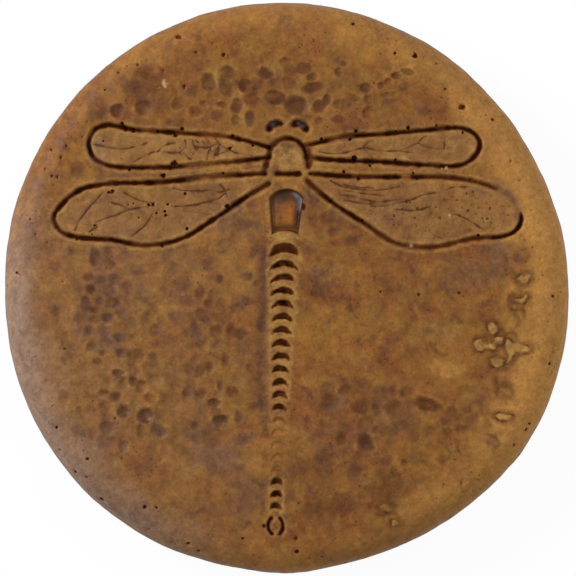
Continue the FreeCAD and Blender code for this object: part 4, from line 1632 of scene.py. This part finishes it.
CLOUD = Pattern(38.0, 4.0, 0.55, 0.5)
DRIFT = Pattern(17.0, 4.0, 0.55, 0.4, 5.0)
BLOTCH = Pattern(9.5, 4.0, 0.58, 0.4, 9.0)
PATCH = Pattern(8.0, 4.0, 0.58, 0.4, 14.0)
MOTTLE = Pattern(3.8, 3.0, 0.6, 0.2, 21.0)
GRIT = Pattern(1.4, 3.0, 0.65, 0.0, 27.0)

# The socket of each pattern in a material
Sockets = Mapping[Pattern, Any]


@dataclass(frozen=True)
class StainedConcrete:
    """Cast concrete under a brown acid stain and a satin sealer.

    The stain bites unevenly, so the eye sees cloudy ochre and umber with rusty, olive and violet blotches,
    over the fine grit of the cast face. It is dark where it lay in the pressed lines and pale where it has
    worn off, and pale highlights are painted on the lips and edges of the lines and pits. The sealer that
    pooled in the deeper pits gives them a wet glint; on the plate and in the eyes a cool grey glint is
    painted on it. The grey-violet stain and the bloom on the western rim also hold a painted sky sheen, the
    plate's dark pool is partly painted shade, the east of the rim is paler as painted light, and the foot
    of the tread and the side are darkened with painted shade.
    """

    ground: str = "#815128"
    # What the stain did to the whole face, with painted light and shade among it, as noted at each coat
    washes: tuple[Coat, ...] = (
        Coat("#95652a", CLOUD, (0.36, 0.64), (0.08, 0.92)),
        Coat("#824c25", DRIFT, (0.48, 0.66), (0.00, 0.75)),
        Coat("#926a2f", BLOTCH, (0.50, 0.68), (0.00, 0.70)),
        Coat("#5e3c2b", BLOTCH, (0.47, 0.30), (0.00, 0.75)),
        Coat("#9c6430", PATCH, (0.52, 0.70), (0.00, 0.75)),
        Coat("#6b4839", PATCH, (0.45, 0.28), (0.00, 0.70)),
        # The ochre rim, paler to the east partly as painted light against the shade on that shoulder
        Coat("#bd8743", BLOTCH, (0.30, 0.70), (1.00, 0.75), Mark.RIM),
        # Grey-violet stain that also stands in for a painted sky sheen
        Coat("#685046", MOTTLE, (0.30, 0.70), (1.00, 0.75), Mark.SLATE_AND_SHEEN),
        # The western bloom, partly a painted sky sheen on the rim
        Coat("#937e70", MOTTLE, (0.30, 0.70), (0.65, 0.85), Mark.BLOOM),
        Coat("#9a6f40", BLOTCH, (0.30, 0.70), (0.25, 0.65), Mark.WING),
        Coat("#532e13", MOTTLE, (0.30, 0.70), (1.00, 0.78), Mark.DIMPLE),
        Coat("#6a361b", PATCH, (0.48, 0.66), (0.00, 0.70), Mark.DIMPLE),
        # Worn places, and painted highlights on lips, edges and webs
        Coat("#b08649", MOTTLE, (0.30, 0.65), (0.55, 1.00), Mark.WORN_AND_HIGHLIGHT),
        Coat("#9f5e27", PATCH, (0.30, 0.62), (0.70, 1.00), Mark.POCKET),
        # Painted shade down the side
        Coat("#574531", BLOTCH, (0.30, 0.70), (0.85, 0.65), Mark.SIDE),
    )
    # What lies on it in the pits and lines, with painted shade in the pool and a painted glint
    stains: tuple[Coat, ...] = (
        # Dark stain with painted shade in the plate
        Coat("#291a0e", MOTTLE, (0.30, 0.70), (0.85, 1.00), Mark.POOL_AND_SHADE),
        Coat("#572b0f", MOTTLE, (0.30, 0.70), (0.92, 1.00), Mark.STAIN, (0.28, 0.56), 0.5),
        Coat("#1d0a03", BLOTCH, (0.36, 0.64), (1.00, 0.80), Mark.STAIN, (0.60, 0.92), 0.5),
        # Painted glint: a cool grey highlight on the sealer of the plate and the eyes
        Coat("#837a80", MOTTLE, (0.30, 0.70), (0.70, 1.00), Mark.PAINTED_GLINT),
        Coat("#4c270e", MOTTLE, (0.30, 0.70), (0.70, 1.00), Mark.VEIN, (0.20, 0.68), 0.35),
        Coat("#c9ab78", MOTTLE, (0.30, 0.70), (0.70, 1.00), Mark.CHIP),
        Coat("#857869", BLOTCH, (0.30, 0.70), (0.75, 1.00), Mark.BED),
    )
    # How far the mottling and the grit darken and lighten it, over a part of each pattern's range
    shades: tuple[tuple[Pattern, Pair], ...] = (
        (BLOTCH, (0.90, 1.10)), (MOTTLE, (0.74, 1.26)), (GRIT, (0.80, 1.20)),
    )
    shade_window: Pair = (0.25, 0.75)
    # Dark specks: their spacing, their edge as shares of it, and where they are thickest
    pepper: str = "#472a14"
    pepper_mm: float = 3.6
    pepper_edge: Pair = (0.19, 0.11)
    pepper_window: Pair = (0.48, 0.62)
    pepper_most: float = 0.7
    # The relief of the cast face, as (pattern, strength, height)
    bumps: tuple[tuple[Pattern, float, float], ...] = ((GRIT, 0.5, 0.3), (MOTTLE, 0.6, 0.6))
    roughness: Pair = (0.44, 0.62)
    roughness_window: Pair = (0.3, 0.7)
    ior: float = 1.5
    # The sheen of the plain face and of the matt stain in the lines
    sheen: Pair = (0.15, 0.0)
    pooled_roughness: float = 0.33

    def coated(self, tree: bpy.types.NodeTree, noises: Sockets, colour: Any, coats: Iterable[Coat]) -> Any:
        """Lays coats over a colour.

        Args:
            tree: the material's nodes.
            noises: the socket of each pattern.
            colour: what lies under the first coat.
            coats: the coats from the lowest up.
        Returns:
            The socket of the result.
        """
        for coat in coats:
            share = add_node(tree, "ShaderNodeMapRange", {
                "Value": noises[coat.pattern], "From Min": coat.window[0], "From Max": coat.window[1],
                "To Min": coat.cover[0], "To Max": coat.cover[1],
            }, interpolation_type="SMOOTHSTEP").outputs[0]
            if coat.mark is not None:
                mark = add_node(tree, "ShaderNodeAttribute", {}, attribute_name=coat.mark.value)
                bent = add_node(tree, "ShaderNodeMath", {
                    0: noises[GRIT], 1: coat.ragged, 2: mark.outputs["Fac"],
                }, operation="MULTIPLY_ADD")
                held = add_node(tree, "ShaderNodeMapRange", {
                    "Value": bent.outputs[0], "From Min": coat.cut[0] + 0.5 * coat.ragged,
                    "From Max": coat.cut[1] + 0.5 * coat.ragged,
                })
                inputs = {0: share, 1: held.outputs[0]}
                share = add_node(tree, "ShaderNodeMath", inputs, operation="MULTIPLY").outputs[0]
            inputs = {0: share, MIX_UNDER: colour, MIX_OVER: linear(coat.colour)}
            colour = add_node(tree, "ShaderNodeMix", inputs, data_type="RGBA").outputs[MIX_RESULT]
        return colour

    def shaded(self, tree: bpy.types.NodeTree, noises: Sockets, colour: Any) -> Any:
        """Darkens and lightens a colour with the finer patterns.

        Args:
            tree: the material's nodes.
            noises: the socket of each pattern.
            colour: what is shaded.
        Returns:
            The socket of the result.
        """
        low, high = self.shade_window
        for pattern, (least, most) in self.shades:
            value = add_node(tree, "ShaderNodeMapRange", {
                "Value": noises[pattern], "From Min": low, "From Max": high, "To Min": least, "To Max": most,
            })
            inputs = {"Value": value.outputs[0], "Color": colour}
            colour = add_node(tree, "ShaderNodeHueSaturation", inputs).outputs[0]
        return colour

    def peppered(self, tree: bpy.types.NodeTree, noises: Sockets, where: Any, colour: Any) -> Any:
        """Scatters dark specks over a colour, thickest in drifts.

        Args:
            tree: the material's nodes.
            noises: the socket of each pattern.
            where: the socket of the places on the stone.
            colour: what lies under the specks.
        Returns:
            The socket of the result.
        """
        cells = add_node(tree, "ShaderNodeTexVoronoi", {"Vector": where, "Scale": per_mm(self.pepper_mm)})
        specks = add_node(tree, "ShaderNodeMapRange", {
            "Value": cells.outputs["Distance"],
            "From Min": self.pepper_edge[0], "From Max": self.pepper_edge[1],
        })
        thick = add_node(tree, "ShaderNodeMapRange", {
            "Value": noises[DRIFT], "To Max": self.pepper_most,
            "From Min": self.pepper_window[0], "From Max": self.pepper_window[1],
        })
        inputs = {0: specks.outputs[0], 1: thick.outputs[0]}
        share = add_node(tree, "ShaderNodeMath", inputs, operation="MULTIPLY").outputs[0]
        inputs = {0: share, MIX_UNDER: colour, MIX_OVER: linear(self.pepper)}
        return add_node(tree, "ShaderNodeMix", inputs, data_type="RGBA").outputs[MIX_RESULT]

    def material(self) -> bpy.types.Material:
        """The finish as a node material that reads the stone's marks."""
        material = bpy.data.materials.new("acid-stained cast concrete, sealed")
        material.use_nodes = True
        tree = material.node_tree
        tree.nodes.clear()
        where = add_node(tree, "ShaderNodeTexCoord", {}).outputs["Object"]
        noises = {}
        for pattern in (CLOUD, DRIFT, BLOTCH, PATCH, MOTTLE, GRIT):
            noises[pattern] = add_node(tree, "ShaderNodeTexNoise", {
                "Vector": where, "W": pattern.number, "Scale": per_mm(pattern.size), "Detail": pattern.detail,
                "Roughness": pattern.rough, "Distortion": pattern.warp,
            }, noise_dimensions="4D").outputs[0]
        colour = self.coated(tree, noises, linear(self.ground), self.washes)
        colour = self.shaded(tree, noises, colour)
        colour = self.peppered(tree, noises, where, colour)
        colour = self.coated(tree, noises, colour, self.stains)
        normal: dict[str, Any] = {}
        for pattern, strength, height in self.bumps:
            bump = add_node(tree, "ShaderNodeBump", {
                "Strength": strength, "Distance": height * MM, "Height": noises[pattern], **normal,
            })
            normal = {"Normal": bump.outputs[0]}
        rough = add_node(tree, "ShaderNodeMapRange", {
            "Value": noises[BLOTCH], "From Min": self.roughness_window[0],
            "From Max": self.roughness_window[1], "To Min": self.roughness[0], "To Max": self.roughness[1],
        })
        lines = add_node(tree, "ShaderNodeAttribute", {}, attribute_name=Mark.STAIN.value)
        sheen = add_node(tree, "ShaderNodeMapRange", {
            "Value": lines.outputs["Fac"], "To Min": self.sheen[0], "To Max": self.sheen[1],
        })
        pooled = add_node(tree, "ShaderNodeAttribute", {}, attribute_name=Mark.GLOSS.value)
        shader = add_node(tree, "ShaderNodeBsdfPrincipled", {
            "Base Color": colour, "Roughness": rough.outputs[0], "IOR": self.ior,
            "Specular IOR Level": sheen.outputs[0], "Coat Weight": pooled.outputs["Fac"],
            "Coat Roughness": self.pooled_roughness, "Coat IOR": self.ior, **normal,
        })
        add_node(tree, "ShaderNodeOutputMaterial", {"Surface": shader.outputs[0]})
        return material


@dataclass
class SteppingStone:
    """The whole casting as one mesh."""

    slab: Slab
    face: Face
    figure: Dragonfly
    finish: StainedConcrete
    tread_pitch: float = 1.22
    side_pitch: float = 2.2
    bed_pitch: float = 4.2
    tread_seed: int = 1
    bed_seed: int = 2
    arris_rings: int = 6
    closest: float = 0.32
    # How near the lattice comes to the reliefs' own points, and how far it strays, as shares of its pitch
    lattice_gap: float = 0.62
    stray: float = 0.22
    # The whole face's roll and grain, as (noise, height), and how far it has settled
    rolls: tuple[tuple[Noise, float], ...] = (
        (Noise.TREAD_ROLL, 0.16), (Noise.TREAD_WAVE, 0.12),
        (Noise.TREAD_ROUGH, 0.07), (Noise.TREAD_GRAIN, 0.025),
    )
    settled: float = 0.05
    # The ochre rim, widest and palest to the east, partly a paler stain and partly painted light against the
    # shade of the east shoulder: how far it wanders, how far it comes in over the tread, and how far outside
    # the flat it is full
    rim_wander: float = 6.0
    rim_in: float = 24.0
    rim_out: float = 6.0
    # The bloom on the western rim, which also carries a painted sky sheen, its edges in and out from the
    # flat, and the angles that it lies between
    bloom: float = 0.85
    bloom_and_sheen_edges: Pair = (-16.0, 13.0)
    bloom_and_sheen_in: Pair = (150.0, 188.0)
    bloom_and_sheen_out: Pair = (264.0, 226.0)
    # The grey cloud over the lower left, where it comes in, and its shares in the marks, which carry
    # some painted sky sheen
    cloud: float = 0.10
    cloud_x: Pair = (12.0, -65.0)
    cloud_y: Pair = (75.0, 20.0)
    cloud_marks: Marks = ((Mark.SLATE_AND_SHEEN, 1.0), (Mark.BLOOM, 0.6), (Mark.RIM, 1.1))
    # The foot of the tread, darkened with painted shade
    foot_shade: float = 0.12
    foot_levels: Pair = (-65.0, -110.0)
    # The float's marks on the bed: the middle that it swung round, their spacing and their heights
    swing: Point = (-190.0, 60.0)
    swing_mm: float = 2.9
    swing_height: float = 0.16
    bed_grain: float = 0.12
    # How much of the bed the inner points cover, and where its relief runs out, as shares of its radius
    bed_inner: float = 0.985
    bed_edge: Pair = (1.0, 0.93)
    # The tread's share of the texture square and the bed's, as (middle, radius)
    tread_island: tuple[Point, float] = ((0.445, 0.555), 0.435)
    bed_island: tuple[Point, float] = ((0.88, 0.12), 0.112)

    def lattice(self, radius: float, pitch: float, seed: int) -> Array:
        """Jittered points in staggered rows over a disc."""
        rng = np.random.default_rng(seed)
        columns = int(radius / pitch) + 2
        rows = int(columns / 0.86)
        row, column = np.mgrid[-rows:rows + 1, -columns:columns + 1]
        x, y = (column + 0.5 * (row % 2)) * pitch, row * ROW_STEP * pitch
        points = np.column_stack([x.ravel(), y.ravel()])
        points += rng.uniform(-self.stray * pitch, self.stray * pitch, points.shape)
        return points[np.hypot(points[:, 0], points[:, 1]) < radius]

    def rim_rings(self) -> tuple[Array, Array]:
        """Rings of points over the shoulder, side and arris, and the last one, at the bed."""
        slab = self.slab
        paths = np.concatenate([
            np.arange(slab.flat + 0.6, slab.arris_start - 0.5, 0.9 * self.side_pitch),
            np.linspace(slab.arris_start, slab.reach, self.arris_rings),
        ])
        count = round(2 * math.pi * slab.bed_radius / self.side_pitch)
        rings = []
        for number, path in enumerate(paths):
            angle = (np.arange(count) + 0.5 * (number % 2)) * 2 * math.pi / count
            rings.append(path * np.column_stack([np.cos(angle), np.sin(angle)]))
        return np.vstack(rings[:-1]), rings[-1]

    def thinned(self, points: Array, gap: float) -> Array:
        """Points with those too close to an earlier one left out."""
        cells: dict[tuple[int, int], list[int]] = {}
        kept: list[int] = []
        for number, (x, y) in enumerate(points):
            i, j = math.floor(x / gap), math.floor(y / gap)
            around = product((i - 1, i, i + 1), (j - 1, j, j + 1))
            close = (other for cell in around for other in cells.get(cell, ()))
            if all(math.hypot(points[o][0] - x, points[o][1] - y) >= gap for o in close):
                cells.setdefault((i, j), []).append(number)
                kept.append(number)
        return points[kept]

    def away_from(self, points: Array, others: Array, gap: float) -> Array:
        """Points that lie at least a gap from all others."""
        tree = kdtree.KDTree(len(others))
        for number, (x, y) in enumerate(others):
            tree.insert((x, y, 0.0), number)
        tree.balance()
        return points[[tree.find((x, y, 0.0))[2] >= gap for x, y in points]]

    def skin(self, reliefs: Sequence[Relief]) -> tuple[Skin, list[list[int]]]:
        """The shaped and marked top.

        Args:
            reliefs: everything on it, in the order in which it is pressed.
        Returns:
            The skin and its triangles.
        """
        seeds = self.thinned(np.vstack([relief.seeds() for relief in reversed(reliefs)]), self.closest)
        rim, foot = self.rim_rings()
        base = np.vstack([self.lattice(self.slab.flat, self.tread_pitch, self.tread_seed), rim])
        base = self.away_from(base, seeds, self.lattice_gap * self.tread_pitch)
        flat = np.vstack([seeds, base, foot])
        points, _, faces, *_ = delaunay_2d_cdt([Vector(p) for p in flat], [], [], 0, SAME_POINT)
        skin = Skin(np.array([tuple(p) for p in points]))
        for relief in reliefs:
            relief.press(skin)
        self.weather(skin)
        return skin, [list(face) for face in faces]

    def weather(self, skin: Skin) -> None:
        """Rolls and grains the whole face, and shades it from side to side: painted light to the east, a
        painted sheen to the west, and painted shade at the foot and down the side.
        """
        slab, points = self.slab, skin.points
        x, y = points.T
        path = np.hypot(x, y)
        ease = smoothstep(slab.reach, slab.arris_start - 1.0, path)
        skin.lift += (sum(height * noise.at(points) for noise, height in self.rolls) - self.settled) * ease
        angle = np.degrees(np.arctan2(y, x)) % 360
        drift = path + self.rim_wander * Noise.RIM_DRIFT.at(points)
        facing = np.cos(np.radians(angle))
        # Painted light with the stain: the rim is paler and wider towards the east
        east = 0.36 * smoothstep(-0.8, 0.1, facing) + 0.64 * smoothstep(0.3, 1.0, facing)
        ochre = smoothstep(slab.flat - self.rim_in * east, slab.flat + self.rim_out, drift)
        skin.stamp(Mark.RIM, EVERYWHERE, east * ochre)
        # Painted sheen with the bloom: the western rim is greyed as if it reflected the bright sky on that
        # side
        west = smoothstep(*self.bloom_and_sheen_in, angle) * smoothstep(*self.bloom_and_sheen_out, angle)
        inner, outer = self.bloom_and_sheen_edges
        rim = smoothstep(slab.flat + inner, slab.flat + outer, drift)
        skin.stamp(Mark.BLOOM, EVERYWHERE, self.bloom * west * rim)
        grey = self.cloud * smoothstep(*self.cloud_x, x) * smoothstep(*self.cloud_y, y)
        grey = grey * (1.0 + 0.5 * Noise.GREY_CLOUD.at(points))
        for mark, share in self.cloud_marks:
            skin.stamp(mark, EVERYWHERE, share * grey)
        # Painted shade: the tread darkens towards its foot
        skin.stamp(Mark.DIMPLE, EVERYWHERE, self.foot_shade * smoothstep(*self.foot_levels, y))
        # Painted shade: the side is darkened as it turns away from the lamps
        skin.marks[Mark.SIDE] = smoothstep(slab.flat + 1.12 * slab.shoulder, slab.side_start + 0.5, path)
        skin.marks[Mark.BED] = smoothstep(slab.arris_start - 3.0, slab.reach - 1.0, path)

    def bed(self, foot: Array) -> tuple[Array, list[list[int]]]:
        """The struck-off underside.

        Args:
            foot: the ring that it shares with the side, in order round it.
        Returns:
            Its inner points and its triangles, which count the ring first.
        """
        radius = float(np.hypot(*foot.T).min())
        inner = self.lattice(self.bed_inner * radius, self.bed_pitch, self.bed_seed)
        flat = np.vstack([foot, inner])
        _, _, faces, origins, *_ = delaunay_2d_cdt([Vector(p) for p in flat], [], [], 0, SAME_POINT)
        origin = [sources[0] for sources in origins]
        x, y = inner.T
        sweep = np.hypot(x - self.swing[0], y - self.swing[1])
        height = self.swing_height * (1 + np.sin(sweep / self.swing_mm + Noise.BED_SWEEP.at(inner)))
        height = height * (0.6 + 0.4 * Noise.BED_SMEAR.at(inner))
        height = height + self.bed_grain * (1 + Noise.BED_GRAIN.at(inner))
        edge = smoothstep(*self.bed_edge, np.hypot(x, y) / radius)
        return np.column_stack([inner, height * edge]), [[origin[n] for n in face] for face in faces]

    def mesh(self) -> bpy.types.Mesh:
        """The stone's shape, marks and texture layout."""
        slab = self.slab
        skin, faces = self.skin(self.face.reliefs(slab) + self.figure.reliefs())
        top = slab.place(skin.points, skin.lift)
        x, y = skin.points.T
        ring = np.nonzero(np.hypot(x, y) > slab.reach - 1e-3)[0]
        ring = ring[np.argsort(np.arctan2(y[ring], x[ring]))]
        top[ring, 2] = 0.0
        inner, bed_faces = self.bed(top[ring, :2])
        number = np.concatenate([ring, len(top) + np.arange(len(inner))])
        places = np.vstack([top, inner]) * MM
        turned = [[int(number[n]) for n in reversed(face)] for face in bed_faces]
        mesh = bpy.data.meshes.new("stepping stone")
        mesh.from_pydata(places.tolist(), [], faces + turned)
        for mark in Mark:
            below = np.full(len(inner), 1.0 if mark is Mark.BED else 0.0)
            values = np.concatenate([skin.marks[mark], below]).astype(np.float32)
            mesh.attributes.new(mark.value, "FLOAT", "POINT").data.foreach_set("value", values)
        middle, radius = self.tread_island
        tread_uv = np.array(middle) + skin.points * radius / slab.reach
        middle, radius = self.bed_island
        bed_uv = np.array(middle) + places[:, :2] / MM * radius / slab.bed_radius
        corners = np.vstack([tread_uv[np.array(faces).ravel()], bed_uv[np.array(turned).ravel()]])
        mesh.uv_layers.new(name="OFBake").data.foreach_set("uv", corners.astype(np.float32).ravel())
        mesh.shade_smooth()
        mesh.validate()
        return mesh

    def build(self) -> bpy.types.Object:
        """Makes the stone and dresses it."""
        mesh = self.mesh()
        stone = bpy.data.objects.new("stained_stepping_stone", mesh)
        bpy.context.scene.collection.objects.link(stone)
        mesh.materials.append(self.finish.material())
        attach(stone, BODY)
        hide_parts(NODE)
        log.info("%s: %d points, %d faces", stone.name, len(mesh.vertices), len(mesh.polygons))
        return stone


@dataclass(frozen=True)
class Lamp:
    """A soft box: where it stands, its side, and the share of full daylight that it gives the tread."""

    name: str
    place: Triple
    size: float
    share: float
    colour: str


@dataclass(frozen=True)
class Studio:
    """A white floor, a pale surround, soft boxes and a camera straight above."""

    # The photograph's frame is square, and this is its scale on the tread
    frame_px: int = 576
    mm_per_px: float = 0.5215
    stone_px: Point = (284.7, 288.0)
    lens: float = 200.0
    floor_half: float = 12.0
    # How far the floor lies under the bed
    floor_drop: float = 0.2
    floor_paper: str = "#c9c9c9"
    floor_shade: float = 0.12
    floor_white: str = "#ffffff"
    floor_glow: float = 1.07
    surround: str = "#ffffff"
    surround_strength: float = 0.42
    lamps: tuple[Lamp, ...] = (
        Lamp("left soft box", (-1.75, 0.85, 1.1), 1.1, 0.42, "#fbfaff"),
        Lamp("right soft box", (1.5, 0.9, 1.3), 1.4, 0.14, "#f4f6ff"),
    )

    def paper(self) -> bpy.types.Material:
        """Matt paper that looks white to the camera and still takes the stone's shadow."""
        material = bpy.data.materials.new("matt white floor paper")
        material.use_nodes = True
        tree = material.node_tree
        tree.nodes.clear()
        rays = add_node(tree, "ShaderNodeLightPath", {})
        seen = rays.outputs["Is Camera Ray"]
        for kind in ("Is Glossy Ray", "Is Transmission Ray"):
            inputs = {0: seen, 1: rays.outputs[kind]}
            seen = add_node(tree, "ShaderNodeMath", inputs, operation="MAXIMUM").outputs[0]
        share = add_node(tree, "ShaderNodeMath", {0: seen, 1: 1.0 - self.floor_shade}, operation="MULTIPLY")
        paper = add_node(tree, "ShaderNodeBsdfDiffuse", {"Color": linear(self.floor_paper)})
        inputs = {"Color": linear(self.floor_white), "Strength": self.floor_glow}
        white = add_node(tree, "ShaderNodeEmission", inputs)
        inputs = {0: share.outputs[0], 1: paper.outputs[0], 2: white.outputs[0]}
        mixed = add_node(tree, "ShaderNodeMixShader", inputs)
        add_node(tree, "ShaderNodeOutputMaterial", {"Surface": mixed.outputs[0]})
        return material

    def floor(self) -> bpy.types.Object:
        """A white floor that still shows the stone's shadow."""
        half, level = self.floor_half, -self.floor_drop * MM
        corners = [(x * half, y * half, level) for x, y in ((-1, -1), (1, -1), (1, 1), (-1, 1))]
        mesh = bpy.data.meshes.new("floor")
        mesh.from_pydata(corners, [], [(0, 1, 2, 3)])
        floor = bpy.data.objects.new("floor", mesh)
        bpy.context.scene.collection.objects.link(floor)
        mesh.materials.append(self.paper())
        return floor

    def light(self) -> None:
        """The surround and the soft boxes."""
        world = bpy.data.worlds.new("pale surround")
        bpy.context.scene.world = world
        world.use_nodes = True
        tree = world.node_tree
        tree.nodes.clear()
        inputs = {"Color": linear(self.surround), "Strength": self.surround_strength}
        pale = add_node(tree, "ShaderNodeBackground", inputs)
        add_node(tree, "ShaderNodeOutputWorld", {"Surface": pale.outputs[0]})
        for lamp in self.lamps:
            data = bpy.data.lights.new(lamp.name, "AREA")
            data.shape = "SQUARE"
            data.size = lamp.size
            data.color = linear(lamp.colour)[:3]
            distance = math.hypot(*lamp.place)
            data.energy = lamp.share * math.pi**2 * distance**2 / (lamp.place[2] / distance)
            light = bpy.data.objects.new(lamp.name, data)
            light.location = lamp.place
            light.rotation_euler = (-Vector(lamp.place)).to_track_quat("-Z", "Y").to_euler()
            bpy.context.scene.collection.objects.link(light)

    def camera(self, slab: Slab) -> None:
        """The photograph's view, from straight above."""
        data = bpy.data.cameras.new("camera")
        data.lens = self.lens
        width = self.frame_px * self.mm_per_px
        camera = bpy.data.objects.new("camera", data)
        x, y = ((self.frame_px / 2 - at) * self.mm_per_px for at in self.stone_px)
        camera.location = Vector((x, -y, slab.top + width * self.lens / data.sensor_width)) * MM
        bpy.context.scene.collection.objects.link(camera)
        bpy.context.scene.camera = camera


def main() -> None:
    """Builds the stone, then the studio round it."""
    logging.basicConfig(level=logging.INFO, format="%(name)s: %(message)s")
    bpy.context.scene.view_settings.view_transform = "Standard"
    slab = Slab.from_frame()
    SteppingStone(slab, Face(), Dragonfly(), StainedConcrete()).build()
    studio = Studio()
    studio.floor()
    studio.light()
    studio.camera(slab)


if __name__ == "__main__":
    main()
